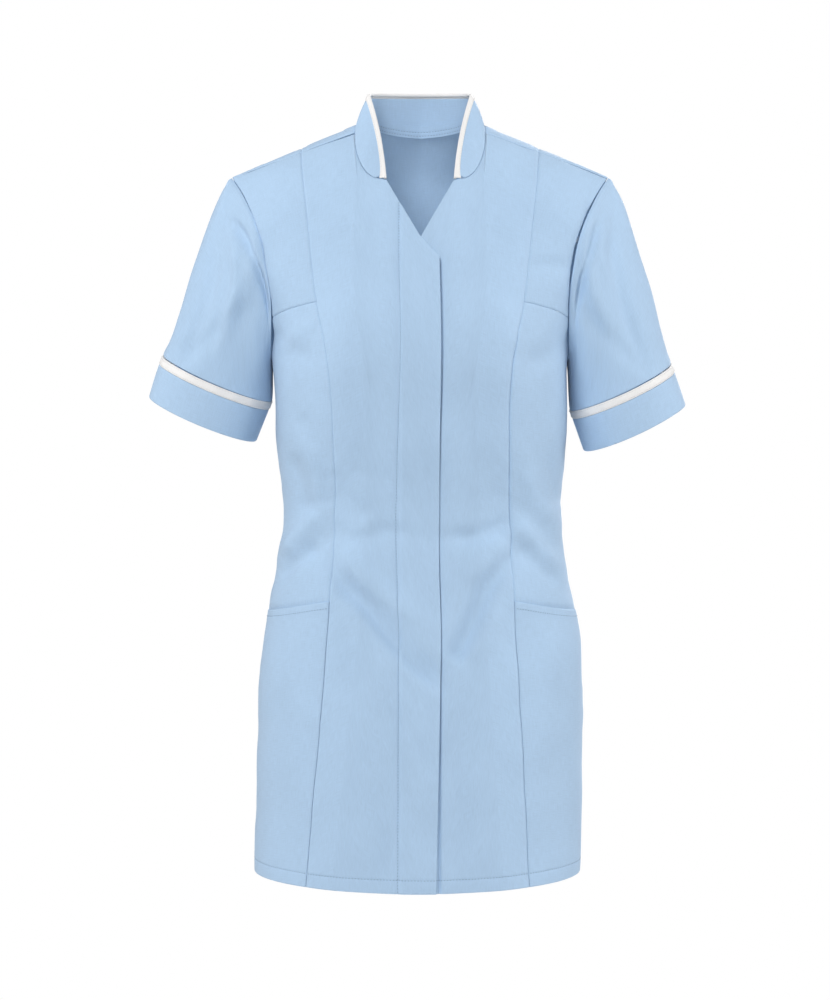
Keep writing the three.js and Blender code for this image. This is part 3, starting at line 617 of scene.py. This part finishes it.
def sewing_thread(name, colour):
    """Twisted polyester thread: fine slanting bands along each stitch, from a wave on the cloth's UV."""
    material, tree, shader = new_material(name)
    uv = node(tree, "ShaderNodeUVMap", uv_map="cloth").outputs[0]
    wave = node(tree, "ShaderNodeTexWave", {"Vector": uv, "Scale": 900.0, "Distortion": 1.0},
                bands_direction="DIAGONAL").outputs["Fac"]
    shade = ramp(tree, wave, tint(colour, 0.86), colour)
    plug(tree, shader, {"Roughness": 0.6, "Base Color": shade.outputs[0], "Normal": bump(tree, wave, 0.4, 0.0001)})
    return material


def tint(colour, by):
    return tuple(min(c * by, 1.0) for c in colour)


THREAD = 0.00062  # a woven thread's width, in metres
BLUE = (0.39, 0.54, 0.72)
WHITE = (0.79, 0.78, 0.77)
blue_cloth = woven("pale_blue_poplin", BLUE, tint(BLUE, 1.09), tint(BLUE, 0.89))
white_cloth = woven("white_poplin", WHITE, tint(WHITE, 1.03), tint(WHITE, 0.95))
blue_thread = sewing_thread("blue_thread", tint(BLUE, 0.72))
white_thread = sewing_thread("white_thread", tint(WHITE, 0.98))

# ---- the cloth on the body
half = SEAM_GAP / 2
seams = []  # (line of points, line of outward directions, thread)
pieces = {}  # name: cloth


def v_line(x):
    slope = (V_TOP[1] - V_MIDDLE_Z) / V_TOP[0]
    return V_MIDDLE_Z + np.where(x < 0, V_BELOW, slope) * x


def front_neck(share):
    """The neck seam in front: a quarter oval from the shoulder seam (0) to the end of the collar (1)."""
    angle = share * np.pi / 2
    return (NECK_END[0] + (HPS[0] - NECK_END[0]) * np.cos(angle), HPS[1] - (HPS[1] - NECK_END[1]) * np.sin(angle))


def shoulder_seam(x):
    return ridge_z(x) - seam_drop(x)


def centre_front_places(edge, fine=()):
    """The four edges of a centre front: the V, the neck seam and the shoulder seam on top, the opening edge, the
    princess seam and the hem."""
    edge_top = float(edge(FRONT_EDGE[0, 0]))
    v_x = np.concatenate([np.linspace(edge_top, 0, 12)[:-1], np.linspace(0, V_TOP[0], 26)])
    neck_x, neck_z = front_neck(np.linspace(1, 0, 26))
    shoulder_x = np.linspace(HPS[0], PRINCESS[0, 1] - half, 24)[1:]
    x = np.concatenate([v_x, neck_x, shoulder_x])
    z = np.concatenate([v_line(v_x), neck_z, shoulder_seam(shoulder_x)]) - half
    top = lines(turn_at(x, z), z)
    start_z = np.linspace(z[0], HEM_Z, 120)
    start = lines(turn_at(edge(start_z), start_z), start_z)
    end = princess(np.linspace(z[-1], HEM_Z, 120), -half)
    start[0], end[0] = top[0], top[-1]
    steps = len(top) - 1
    corners = ((len(v_x) - 1) / steps, (len(v_x) + len(neck_x) - 1) / steps)
    across = np.union1d(shares(150, 2.0), fine)
    return patch(top, start, end, across, shares(700, 2.6, DOWN_EDGE), corners)


def opening_edge(z):
    return follow(FRONT_EDGE, 1, z)


HEM_STITCH = 13.0
STITCHED = (0.5, 0.7)  # depth and width of the groove under a row of stitches
PLACKET_RAISED = 1.9
TRENCH = {"deep": 2.3, "wide": 1.3, "beyond": 0.5}


def hem_detail(base, distance):
    """The hem's stitching lies in a groove, and the cloth beside it ripples a little."""
    up = distance["bottom"] - HEM_STITCH
    return valley(up, *STITCHED) + pucker(base[..., 0], up, high=0.2, short=4.1, long=23, wide=5)


def top_of_front(base, distance):
    """The V is an edge turned under; the neck and the shoulder are seams."""
    v = 1 - smooth(np.abs(base[:1, :, 0]), V_TOP[0] - 1, V_TOP[0] + 2)
    edge = distance["top"]
    pressed = 0.2 * (1 - smooth(edge, 7, 9)) + valley(edge, 0.5, 0.6)
    gathers = pucker(base[:1, :, 2], edge - 5, high=0.25, short=4.7, long=17, wide=5)
    return gathers + v * pressed + (1 - v) * valley(edge, *SEWN_IN)


def placket_lift(base):
    """The wearer's right front rises over the left one and comes level by the placket's stitching."""
    return PLACKET_RAISED * (1 - smooth(-base[..., 0], 16.5, 21.5))


def worn_seam(base, distance):
    """The princess seam on the wearer's left is drawn in deeper from the bust to the hip."""
    x, z = base[..., 0], base[..., 2]
    there = (x > 0) * smooth(-z, 185, 235) * (1 - smooth(-z, 395, 440))
    return 0.9 * there * bell(distance, 1.6)


def right_front_detail(base, distance):
    """The placket swells at the opening's edge and behind it, and gathers beside its stitching."""
    z = base[..., 2]
    in_from_edge = opening_edge(z) - base[..., 0]
    swell = 0.5 * bell(in_from_edge - 20, 15) + 0.9 * bell(in_from_edge, 3.5)
    gathers = pucker(z, in_from_edge - PLACKET, high=0.28, short=9.3, long=41, wide=5.5, sway=1.7)
    line = valley(in_from_edge - PLACKET, *STITCHED)
    return line + swell + gathers + hem_detail(base, distance) + top_of_front(base, distance)


def left_front_detail(base, distance):
    """The underlap lies deeper, with a trench beside the opening's edge, from the foot of the V down."""
    under = 1 - smooth(base[..., 0], 12, 24)
    below = smooth(FRONT_EDGE[0, 0] - base[..., 2], 0, 5)
    trench = TRENCH["deep"] * below * bell(base[..., 0] - opening_edge(base[..., 2]) - TRENCH["beyond"], TRENCH["wide"])
    under = 0.5 * under + trench + worn_seam(base, distance["end"])
    return hem_detail(base, distance) - under + top_of_front(base, distance)


BY_OPENING = np.linspace(0.2, 0.4, 41)  # closer columns where the opening's edge lies on the left front
BY_PLACKET = np.linspace(0.24, 0.4, 49)  # and at the placket's stitches on the right one
front_edges = {"start": "turned", "end": "sewn", "bottom": "turned"}
right_front = build_panel("front_right", centre_front_places(lambda z: -opening_edge(z), BY_PLACKET), -1, front_edges,
                          right_front_detail, placket_lift)
left_front = build_panel("front_left", centre_front_places(lambda z: -UNDERLAP + 0 * z, BY_OPENING), 1, front_edges,
                         left_front_detail)
to_edge = opening_edge(right_front["base"][..., 2]) - right_front["base"][..., 0]
seams.append((*trace(crosswise(right_front), to_edge.T, PLACKET), blue_thread))


def stitch_hem(panel):
    seams.append((*trace(panel, -panel["bottom"], -HEM_STITCH), blue_thread))


POCKET_SAG = 3.0
SHOULDER_ANGLE = float(np.arccos(1 - SEAM_FORWARD["tip"] / ARMHOLE_HALF))
BUST_ANGLE = np.radians(125.5)
TIP_X = float(body(*armhole(np.array(SHOULDER_ANGLE)))[0])


def side_front_upper_places():
    x = np.linspace(PRINCESS[0, 1] + half, TIP_X, 30)
    z = shoulder_seam(x) - half
    top = lines(turn_at(x, z), z)
    start = princess(np.linspace(z[0], BUST_SEAM_Z + half, 60), half)
    end = lines(*armhole(np.linspace(SHOULDER_ANGLE, BUST_ANGLE, 60)))
    end[-1, 1] += half
    end[0], start[0] = top[-1], top[0]
    return patch(top, start, end, shares(70, 2.2), shares(150, 2.4))


def side_front_lower_places():
    around = lines(*armhole(np.linspace(BUST_ANGLE, np.pi, 40)))
    around[0, 1] -= half
    side_z = np.linspace(UNDERARM_Z, HEM_Z, 160)
    end = np.concatenate([around[:-1], side_seam(side_z, -half)])
    start = princess(np.concatenate([np.linspace(BUST_SEAM_Z - half, UNDERARM_Z, 40)[:-1], side_z]), half)
    top = np.linspace(start[0], end[0], 30)
    underarm = (len(around) - 1) / (len(end) - 1)
    return patch(top, start, end, shares(80, 2.3), shares(570, 2.5, DOWN_EDGE), (), (underarm,))


def pocket_places():
    """The hip pocket covers the side front from its mouth, which slopes a little down to the side seam."""
    share = np.linspace(0, 1, 80)
    start_z = POCKET_Z["seam"] + (HEM_Z - POCKET_Z["seam"]) * share
    end_z = POCKET_Z["side"] + (HEM_Z - POCKET_Z["side"]) * share
    start, end = princess(start_z, half), side_seam(end_z, -half)
    across = np.linspace(0, 1, 30)
    top = start[0] + (end[0] - start[0]) * across[:, None]
    top[:, 1] -= POCKET_SAG * np.sin(np.pi * across)
    return patch(top, start, end, shares(80, 2.3), shares(270, 2.5, DOWN_EDGE))


MOUTH_STITCH = 6.5
POCKET_RAISED = 0.35
POCKET_UNDER = 0.75


def share_across(distance):
    return distance["start"] / (distance["start"][:, -1:] + 1e-6)


def side_front_detail(base, distance):
    """The cloth behind the pocket lies deeper, with a hollow just under its mouth."""
    across = share_across(distance)
    mouth = POCKET_Z["seam"] + (POCKET_Z["side"] - POCKET_Z["seam"]) * across - POCKET_SAG * np.sin(np.pi * across)
    above = base[..., 2] - mouth
    under = POCKET_UNDER * smooth(-above, -1, 5) + 0.9 * bell(above - 1, 2.2)
    return -under - worn_seam(base, distance["start"])


def pocket_detail(base, distance):
    """The pocket is held at both seams and bows out a little between them, most at its mouth."""
    across = share_across(distance)
    gape = 2.0 * np.sin(np.pi * across) ** 1.1 * np.exp(-distance["top"] / 26)
    return gape + valley(distance["top"] - MOUTH_STITCH, 0.25, 0.9) + hem_detail(base, distance)


everywhere = {"start": np.ones_like, "end": np.ones_like}
for name, side in (("right", -1), ("left", 1)):
    build_panel(f"side_front_upper_{name}", side_front_upper_places(), side, SEWN, None, tucked=everywhere)
    build_panel(f"side_front_lower_{name}", side_front_lower_places(), side, {**SEWN, "bottom": "turned"},
                side_front_detail, tucked=everywhere)
    pocket = build_panel(f"pocket_{name}", pocket_places(), side, {**SEWN, "top": "turned", "bottom": "turned"},
                         pocket_detail, lambda base: POCKET_RAISED)
    seams.append((*trace(pocket, pocket["top"], MOUTH_STITCH), blue_thread))
    stitch_hem(pocket)
for panel in (right_front, left_front):
    stitch_hem(panel)


def over_ridge(turn, height):
    x = body(turn, height)[..., 0]
    return np.pi - turn, 2 * ridge_z(x) - height


def back_neck(share):
    """The neck seam behind, from the middle (0) to the shoulder seam (1), as a turn and a height."""
    x = HPS[0] * np.sin(share * np.pi / 2)
    seam = 2 * ridge_z(HPS[0]) - HPS[1]
    height = seam + (BACK_NECK_Z - seam) * np.cos(share * np.pi / 2)
    return np.pi - turn_at(x, height), height


def back_princess(heights, offset):
    return lines(np.pi - turn_at(follow(BACK_PRINCESS, 1, heights) + offset, heights), heights)


def back_shoulder(x):
    """The top edge of the backs, a seam's gap behind the shoulder seam."""
    z = shoulder_seam(x)
    line = lines(*over_ridge(turn_at(x, z), z))
    line[:, 1] -= half
    return line


def mirrored(line):
    return np.column_stack([2 * np.pi - line[:, 0], line[:, 1]])


def back_seam(offset, count):
    """The princess seam of the back, from the shoulder seam over the ridge and down to the hem."""
    top = back_shoulder(np.array([PRINCESS[0, 1] + offset]))
    return np.concatenate([top, back_princess(np.linspace(top[0, 1], HEM_Z, count)[1:], offset)])


def side_back_places():
    """A side back, from the armhole and the side seam to the princess seam, over the shoulder."""
    top = back_shoulder(np.linspace(TIP_X, PRINCESS[0, 1] + half, 30))
    tip = lines(*over_ridge(*armhole(np.linspace(SHOULDER_ANGLE, 0, 5)[:-1])))
    around = lines(*armhole(np.linspace(0, -np.pi, 100)))
    side_z = np.linspace(UNDERARM_Z, HEM_Z, 260)[1:]
    start = np.concatenate([tip, around, side_seam(side_z, half)])
    start[0] = top[0]
    end = back_seam(half, 360)
    underarm = (len(tip) + len(around) - 1) / (len(start) - 1)
    return patch(top, start, end, shares(150, 2.9), shares(760, 2.9, DOWN_EDGE), (), (underarm,))


def centre_back_places():
    """The centre back, between the princess seams, with the neck seam and both shoulder seams on top."""
    shoulder = back_shoulder(np.linspace(PRINCESS[0, 1] - half, HPS[0], 24))
    neck = lines(*back_neck(np.linspace(1, 0, 30)))
    left = np.concatenate([shoulder, neck[1:]])
    top = np.concatenate([left, mirrored(left[::-1][1:])])
    start = back_seam(-half, 360)
    start[0] = top[0]
    corner = (len(shoulder) - 1) / (len(top) - 1)
    down = shares(760, 2.9, DOWN_EDGE)
    return patch(top, start, mirrored(start), shares(230, 2.6), down, (corner, 1 - corner))


hemmed = {**SEWN, "bottom": "turned"}
stitch_hem(build_panel("back", centre_back_places(), 1, hemmed, hem_detail))
above_underarm = {"start": lambda z: smooth(z - UNDERARM_Z, 2, 8), "end": np.ones_like}
for name, side in (("right", -1), ("left", 1)):
    stitch_hem(build_panel(f"side_back_{name}", side_back_places(), side, hemmed, hem_detail, tucked=above_underarm))


# ---- sleeves
def sleeve_point(sleeve, angle, way):
    """A sleeve hangs from the armhole (way 0) in a cubic curve to the strip's edge (1), then straight to its hem (2).
    The angle goes round the armhole's oval and the cuff's oval alike."""
    angle, way = np.broadcast_arrays(np.asarray(angle, float), np.asarray(way, float))
    wrapped = (angle + np.pi) % (2 * np.pi) - np.pi
    turn, height = armhole(wrapped)
    seam = body(turn, height)
    share = np.abs(wrapped) / np.pi
    lean, tilt = np.radians(sleeve["lean"]), np.radians(sleeve["tilt"])
    down = np.array([np.sin(lean), 0, -np.cos(lean)])

    def ring(inner):
        reach = (sleeve["across"] + inner) * np.cos(angle)
        place = np.stack([reach * np.cos(tilt), -sleeve["deep"] * np.sin(angle), reach * np.sin(tilt)], -1)
        drop = CUFF_DIP * np.sin(angle) - inner * CUFF_LENGTH
        return place + sleeve["cuff"] + down * drop[..., None]

    def hanging(lean_angle):
        return np.stack([np.sin(lean_angle), 0 * lean_angle, -np.cos(lean_angle)], -1)

    hem, strip = ring(0), ring(1)
    leave = np.radians(SLEEVE_LEAVES["top"] + (SLEEVE_LEAVES["underarm"] - SLEEVE_LEAVES["top"]) * share**3)
    length = np.linalg.norm(seam - strip, axis=-1)[..., None]
    first, last = hanging(leave) * length * 0.5, hanging(lean * (1 - 0.75 * share**3)) * length
    start = seam + unit(first) * SEAM_GAP + outward(body, turn, height, *BODY_STEPS) * SEAM_GAP
    t = np.minimum(way, 1)[..., None]
    curve = (start * (2 * t**3 - 3 * t**2 + 1) + first * (t**3 - 2 * t**2 + t)
             + strip * (3 * t**2 - 2 * t**3) + last * (t**3 - t**2))
    return np.where(way[..., None] <= 1, curve, strip + (hem - strip) * (way[..., None] - 1))


CUFF_LENGTH = CUFF + STRIP + 2 * SEAM_GAP
SLEEVE_ROUND = 60.0  # millimetres of cloth for each radian, to measure folds in
SLEEVE_DOWN = 170.0  # millimetres of cloth from the armhole to the strip
SLEEVE_CREASES = {
    # path round (mm, forward from the top) and down (mm from the armhole), height, width on each side
    "right": (
        ([(44, 38), (60, 31), (80, 27), (107, 20), (130, 8)], -2.6, 9, 6),
        ([(58, 46), (76, 64), (86, 92), (88, 130)], 1.7, 8, 9),
        ([(44, 60), (56, 100), (58, 140), (52, 165)], -1.8, 11, 10),
        ([(78, 0), (86, 60), (84, 120)], 1.8, 9, 12),
        ([(20, 0), (26, 60), (18, 130)], 1.2, 14, 12),
        ([(-30, 0), (-44, 70), (-40, 150)], -1.6, 13, 10),
        ([(-70, 4), (-86, 70), (-80, 140)], 1.5, 10, 12),
        ([(-6, 70), (0, 120), (10, 170)], -1.0, 12, 12),
        ([(102, 60), (84, 110), (58, 164)], -1.4, 8, 10),
    ),
    "left": (
        ([(52, 22), (70, 28), (96, 32), (123, 36)], -2.2, 8, 7),
        ([(44, 40), (58, 66), (66, 110), (64, 158)], -2.2, 9, 10),
        ([(76, 2), (92, 60), (90, 120)], 1.9, 10, 9),
        ([(14, 4), (22, 70), (12, 140)], 1.3, 12, 13),
        ([(-34, 0), (-40, 60), (-50, 140)], -1.7, 11, 12),
        ([(-74, 6), (-80, 80), (-92, 140)], 1.4, 12, 10),
        ([(2, 60), (-6, 110), (4, 168)], -1.1, 11, 13),
        ([(108, 50), (92, 110), (70, 160)], -1.3, 9, 9),
    ),
}


def sleeve_folds(name, angle, way):
    """Folds that fall from the shoulder to the cuff, with the sleeve head's fullness and gathers beside the strip. They
    are calm under the arm, where the sleeve is close to the side."""
    u, v = SLEEVE_ROUND * angle, SLEEVE_DOWN * np.minimum(way, 1) + CUFF_LENGTH * np.maximum(way - 1, 0)
    head = 0.9 * bell(v - 7, 6) * bell(u, 110)
    gathers = pucker(u, np.abs(v - SLEEVE_DOWN) - 5, high=0.35, short=4.6, long=19, wide=5)
    total = FOLD_DEPTH * folds(u, v, name, SLEEVE_CREASES[name]) * smooth(way, 0.0, 0.12) + head + gathers
    return total * smooth(np.pi - np.abs(angle), 0.25, 1.0)


def build_sleeve(name, sleeve, part, rows, material, lift, thick, top, bottom, stitched=()):
    """One ring of a sleeve between two ways down it. Its edges are sewn, level (a shallower seam) or turned."""
    angle, way = np.meshgrid(SLEEVE_ANGLES, rows)
    side = sleeve["side"]

    base = sleeve_point(sleeve, angle, way)
    normal = outward(lambda a, w: sleeve_point(sleeve, a, w), angle, way, 0.01, 0.004)
    down = lengths(base, 0)
    up = down[-1:] - down
    out = sleeve_folds(name, angle, way) + lift
    wall = np.full(out.shape, thick)
    for edge, kind in ((down, top), (up, bottom)):
        if kind == "sewn":
            out = out + valley(edge)
        elif kind == "level":
            out = out + valley(edge, LEVEL)
        else:
            wall = wall + TURNED["wall"]
            out = out + TURNED["raised"] + valley(edge, *TURNED["lip"])
    for place in stitched:
        out = out + valley((up if place < 0 else down) - abs(place), 0.28, 0.9)
    outer = (base + normal * out[..., None]) * (side, 1, 1)
    normal = normal * (side, 1, 1)
    inner = outer - normal * wall[..., None]
    pieces[f"{part}_{name}"] = shell(f"{part}_{name}_cloth", outer, inner, material, True, side < 0)
    return {"outer": outer, "normal": normal, "down": down, "up": up}


SLEEVE_ANGLES = np.linspace(np.pi, -np.pi, 181)[:-1]
STRIP_END = 1 + STRIP / CUFF_LENGTH
GAP = SEAM_GAP / CUFF_LENGTH
STRIP_RAISED = 0.3
STRIP_STITCH = 1.4
LEVEL = 0.25  # depth of the valley where the sleeve and the cuff meet the strip
DOUBLED = CLOTH + 0.3
for name, sleeve in SLEEVES.items():
    sleeve_rows = shares(170, 2.4) * (1 - GAP)
    strip_rows = 1 + shares(STRIP, 1.0, (0.2, 0.5, 1.0)) * (STRIP_END - 1)
    cuff_rows = STRIP_END + GAP + shares(CUFF, 2.2) * (2 - STRIP_END - GAP)
    build_sleeve(name, sleeve, "sleeve", sleeve_rows, blue_cloth, 0.0, CLOTH, "sewn", "level")
    strip = build_sleeve(name, sleeve, "sleeve_trim", strip_rows, white_cloth, STRIP_RAISED, DOUBLED,
                         "turned", "turned", (STRIP_STITCH, -STRIP_STITCH))
    build_sleeve(name, sleeve, "cuff", cuff_rows, blue_cloth, 0.0, DOUBLED, "level", "turned")
    for field, place in ((strip["down"], STRIP_STITCH), (-strip["up"], -STRIP_STITCH)):
        line, out = trace(strip, field, place, 0)
        seams.append((np.concatenate([line, line[:1]]), np.concatenate([out, out[:1]]), white_thread))


# ---- collar
def collar_point(way_round, up):
    """A point of the collar: 0 at the middle of the back, 1 at the right front corner, 2 at the right front end, and
    negative on the left. The way up is 0 at the neck seam and 1 at the edge, along a straight line with a bow."""
    way_round, up = np.broadcast_arrays(np.asarray(way_round, float), np.asarray(up, float))
    way = np.abs(way_round)
    behind, ahead = np.minimum(way, 1), np.maximum(way - 1, 0)
    back_turn, back_height = back_neck(behind)
    neck_x, neck_z = front_neck(ahead)
    is_back = way <= 1
    seam = body(np.where(is_back, back_turn, turn_at(neck_x, neck_z)), np.where(is_back, back_height, neck_z))
    turn = np.radians(COLLAR["corner"]) * behind
    edge = np.stack([COLLAR["half"] * np.sin(turn), COLLAR["y"] + COLLAR["depth"] * np.cos(turn),
                     COLLAR["back_z"] + (COLLAR["corner_z"] - COLLAR["back_z"]) * behind**2], -1)
    f = ahead[..., None]
    end = body(turn_at(V_TOP[0], V_TOP[1]), np.array(V_TOP[1]))
    edge = edge * (1 - f) ** 2 + COLLAR_BEND * 2 * f * (1 - f) + end * f**2
    point = seam * (1 - up[..., None]) + edge * up[..., None]
    bow = COLLAR["bow"] * np.sin(np.pi * np.clip(up, 0, 1)) * (1 - ahead)
    point = point + unit(seam * (1, 1, 0) + (0, 10, 0)) * bow[..., None]
    return point * np.stack([-np.sign(way_round), np.ones(way.shape), np.ones(way.shape)], -1)


def collar_height(way_round):
    return np.linalg.norm(collar_point(way_round, 1.0) - collar_point(way_round, 0.0), axis=-1)


COLLAR_WALL = 1.1
COLLAR_STEPS = (0.004, 0.01)  # in ways round and up, for the collar's slopes
COLLAR_CREASES = (
    # path round and up in millimetres, height, width on each side
    ([(-150, 6), (-140, 26)], -0.8, 7, 9),
    ([(146, 4), (138, 28)], -0.9, 9, 7),
    ([(-70, 2), (-64, 34)], 0.6, 12, 12),
    ([(58, 2), (66, 34)], 0.6, 13, 11),
)
FRONT_END = 1.98


def collar_grid(bottom, top, rows, wall_out, ends=FRONT_END - 0.06):
    """Points and outward directions of a band of the collar, between two distances up from its seam."""
    count = 150
    way_round, level = np.meshgrid(np.linspace(-ends, ends, count), rows[::-1])
    height = collar_height(way_round)
    rise = bottom + (top(height) - bottom) * level
    up = rise / height
    base = collar_point(way_round, up)
    normal = outward(collar_point, way_round, up, *COLLAR_STEPS)
    round_mm = lengths(base, 1)
    round_mm = round_mm - round_mm[:, count // 2:count // 2 + 1]
    out = folds(round_mm, rise, "collar", COLLAR_CREASES)
    return base + normal * (out * smooth(rise, 0, 6) + wall_out)[..., None], normal, rise


rows = shares(32, 1.8, (0.25, 0.7, 1.4))
outer, normal, rise = collar_grid(0.4, lambda height: height - BINDING + 2.0, rows, 0.0)
outer = outer + normal * valley(rise, 0.5)[..., None]
pieces["collar"] = shell("collar_cloth", outer, outer - normal * COLLAR_WALL, blue_cloth)

BINDING_INSIDE = 2.6
BINDING_STITCH = 1.2


def build_binding():
    """The binding wraps the collar's edge: a leg down the outside, half a turn over the edge, and a shorter leg down
    the inside. The outer leg swells between the stitching and the edge."""
    radius = COLLAR_WALL / 2 + 0.55
    leg, short = np.linspace(BINDING, radius, 9), np.linspace(radius, BINDING_INSIDE, 5)
    over = np.linspace(0, np.pi, 9)[1:-1]
    down = np.concatenate([leg, radius - radius * np.sin(over), short])
    stitched = 0.25 * bell(leg - BINDING + BINDING_STITCH, 0.7)
    puff = 0.35 * np.sin(np.pi * (BINDING - leg) / BINDING) - stitched
    out = np.concatenate([radius + puff, radius * np.cos(over), -radius + 0 * short]) - COLLAR_WALL / 2
    way_round, drop = np.meshgrid(np.linspace(-FRONT_END, FRONT_END, 170), down)
    height = collar_height(way_round)
    base = collar_point(way_round, 1 - drop / height)
    normal = outward(collar_point, way_round, 1 - drop / height, *COLLAR_STEPS)
    up = unit(collar_point(way_round, 1.0) - collar_point(way_round, 0.0))
    outer = base + normal * out[:, None, None]
    across = np.gradient(np.column_stack([out, -down]), axis=0)
    away = unit(np.column_stack([across[:, 1], -across[:, 0]]))
    skin = normal * away[:, 0, None, None] + up * away[:, 1, None, None]
    return outer, outer - skin * 0.5, skin, drop


outer, inner, skin, drop = build_binding()
pieces["collar_trim"] = shell("collar_trim_cloth", outer[::-1], inner[::-1], white_cloth)
seams.append((*trace({"outer": outer, "normal": skin}, -drop, BINDING_STITCH - BINDING), white_thread))

TAPE_BELOW = 1.5
TAPE_STITCHES = (0.8, 4.6)
TAPE_WALL = 0.5
rows = shares(NECK_TAPE + TAPE_BELOW, 0.7, (0.2, 0.6, 1.2))
outer, normal, rise = collar_grid(-TAPE_BELOW, lambda height: 1.0 + NECK_TAPE, rows, -COLLAR_WALL - 0.25, 0.98)
puffed = TAPE_WALL - 0.3 * sum(bell(rise - up, 0.8) for up in TAPE_STITCHES)
inner = outer - normal * puffed[..., None]
pieces["neck_tape"] = shell("neck_tape_cloth", outer, inner, blue_cloth)
for up in TAPE_STITCHES:
    seams.append((*trace({"outer": inner, "normal": -normal}, -rise, -up), blue_thread))


# ---- stitches
def sew(name, line, out, thread, pitch=3.0, long=2.1, thick=0.36):
    """A row of stitches: each is a short thread with a pointed end in the cloth at both ends and four sides between,
    bowed out of the cloth in its middle."""
    steps = np.linalg.norm(np.diff(line, axis=0), axis=1)
    at = np.concatenate([[0], np.cumsum(steps)])
    count = int(at[-1] / pitch)
    centre = (np.arange(count) + 0.5) * at[-1] / count
    share = np.array([-0.5, -0.3, 0.0, 0.3, 0.5])
    where = centre[:, None] + share * long

    def sample(values):
        return np.stack([np.interp(where.ravel(), at, values[:, k]) for k in range(3)], -1).reshape(count, 5, 3)

    spot, up = sample(line), unit(sample(out))
    along = unit(spot[:, -1] - spot[:, 0])[:, None]
    aside = np.cross(up, along)
    bow = np.array([-0.25, 0.05, 0.16, 0.05, -0.25])
    spot = spot + up * bow[:, None]
    sides = np.stack([aside, up, -aside, -up], 2)[:, 1:4]
    rings = spot[:, 1:4, None] + sides * (thick * np.array([0.8, 1.0, 0.8]))[None, :, None, None]
    verts = np.concatenate([spot[:, :1], rings.reshape(count, 12, 3), spot[:, 4:]], 1)
    k = np.arange(4)
    m = (k + 1) % 4
    first = np.stack([0 * k, 1 + m, 1 + k], 1)
    last = np.stack([9 + k, 9 + m, 13 + 0 * k], 1)
    bands = [np.stack([a + k, a + m, b + m], 1) for a, b in ((1, 5), (5, 9))]
    bands += [np.stack([a + k, b + m, b + k], 1) for a, b in ((1, 5), (5, 9))]
    one = np.concatenate([first, last, *bands])
    faces = (one[None] + 14 * np.arange(count)[:, None, None]).reshape(-1, 3)
    flat = np.array([(0, 0)] + [(s, a) for s in (0.5, 1.0, 1.5) for a in range(4)] + [(2, 0)], float)
    uvs = np.tile(flat[one.ravel()], (count, 1))
    return link(name, verts.reshape(-1, 3), faces, uvs, thread)


threads = [sew(f"stitches_{i:02d}", line, out, thread) for i, (line, out, thread) in enumerate(seams)]

# ---- camera, light and floor
camera = bpy.data.objects.new("camera", bpy.data.cameras.new("camera"))
camera.location = (-0.005, -2.6, -0.367)
camera.rotation_euler = (np.pi / 2, 0, 0)
camera.data.lens = 93.6
bpy.context.scene.collection.objects.link(camera)
bpy.context.scene.camera = camera
bpy.context.scene.view_settings.view_transform = "Standard"


MIDDLE = (0, 0, -0.3)
LIGHTS = (
    # name, place, target, size and watts, colour
    ("key", (-0.8, -1.9, 1.5), MIDDLE, 0.6, 40, (1, 1, 1)),
    ("front", (0.1, -3.0, 0.0), MIDDLE, 0.9, 25, (1, 1, 1)),
    ("left", (-1.9, 0.1, 0.3), MIDDLE, 1.2, 16, (1, 1, 1)),
    ("right", (1.9, -0.1, 0.3), MIDDLE, 1.2, 24, (1, 1, 1)),
    ("neck", (0, -0.02, -0.3), (0, 0.075, -0.05), 0.1, 0.13, (1, 0.97, 0.88)),
    ("behind", (0.9, 2.4, 1.0), MIDDLE, 0.8, 50, (1, 1, 1)),
)
for name, place, target, size, watts, colour in LIGHTS:
    light = bpy.data.lights.new(name, "AREA")
    light.size, light.energy, light.color = size, watts, colour
    made = bpy.data.objects.new(name, light)
    made.location = place
    made.rotation_euler = (Vector(target) - Vector(place)).to_track_quat("-Z", "Y").to_euler()
    bpy.context.scene.collection.objects.link(made)

SKY = {"seen": 1.0, "lit": 0.22}
world = bpy.data.worlds.new("studio")
world.use_nodes = True
bpy.context.scene.world = world
tree = world.node_tree
tree.nodes.clear()
eye = node(tree, "ShaderNodeLightPath").outputs["Is Camera Ray"]
strength = node(tree, "ShaderNodeMapRange", {"Value": eye, "To Min": SKY["lit"], "To Max": SKY["seen"]}).outputs[0]
sky = node(tree, "ShaderNodeBackground", {"Color": (1, 1, 1, 1), "Strength": strength}).outputs[0]
node(tree, "ShaderNodeOutputWorld", {"Surface": sky})

FLOOR = {"radius": 1.5, "z": -1.2, "corners": 64}
floor_mesh = bpy.data.meshes.new("floor")
angle = np.linspace(0, 2 * np.pi, FLOOR["corners"], endpoint=False)
rim = np.column_stack([FLOOR["radius"] * np.cos(angle), FLOOR["radius"] * np.sin(angle), FLOOR["z"] + 0 * angle])
floor_mesh.from_pydata(rim.tolist(), [], [list(range(FLOOR["corners"]))])
floor = bpy.data.objects.new("floor", floor_mesh)
bpy.context.scene.collection.objects.link(floor)
paper, tree, shader = new_material("pale_paper")
plug(tree, shader, {"Base Color": (0.85, 0.85, 0.85, 1), "Roughness": 0.9})
floor_mesh.materials.append(paper)

# ---- what each piece is
PARTED = {  # solids that one cloth stands for
    "side_front_lower": ("side_front_lower", "pocket_back"),
    "side_back": ("side_back_upper", "side_back_lower"),
}
for name, piece in pieces.items():
    stem = name.removesuffix("_right").removesuffix("_left")
    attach(piece, "root")
    for solid in PARTED.get(stem, (stem,)):
        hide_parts(solid + name[len(stem):])
for piece, (_, _, thread) in zip(threads, seams):
    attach(piece, "root")
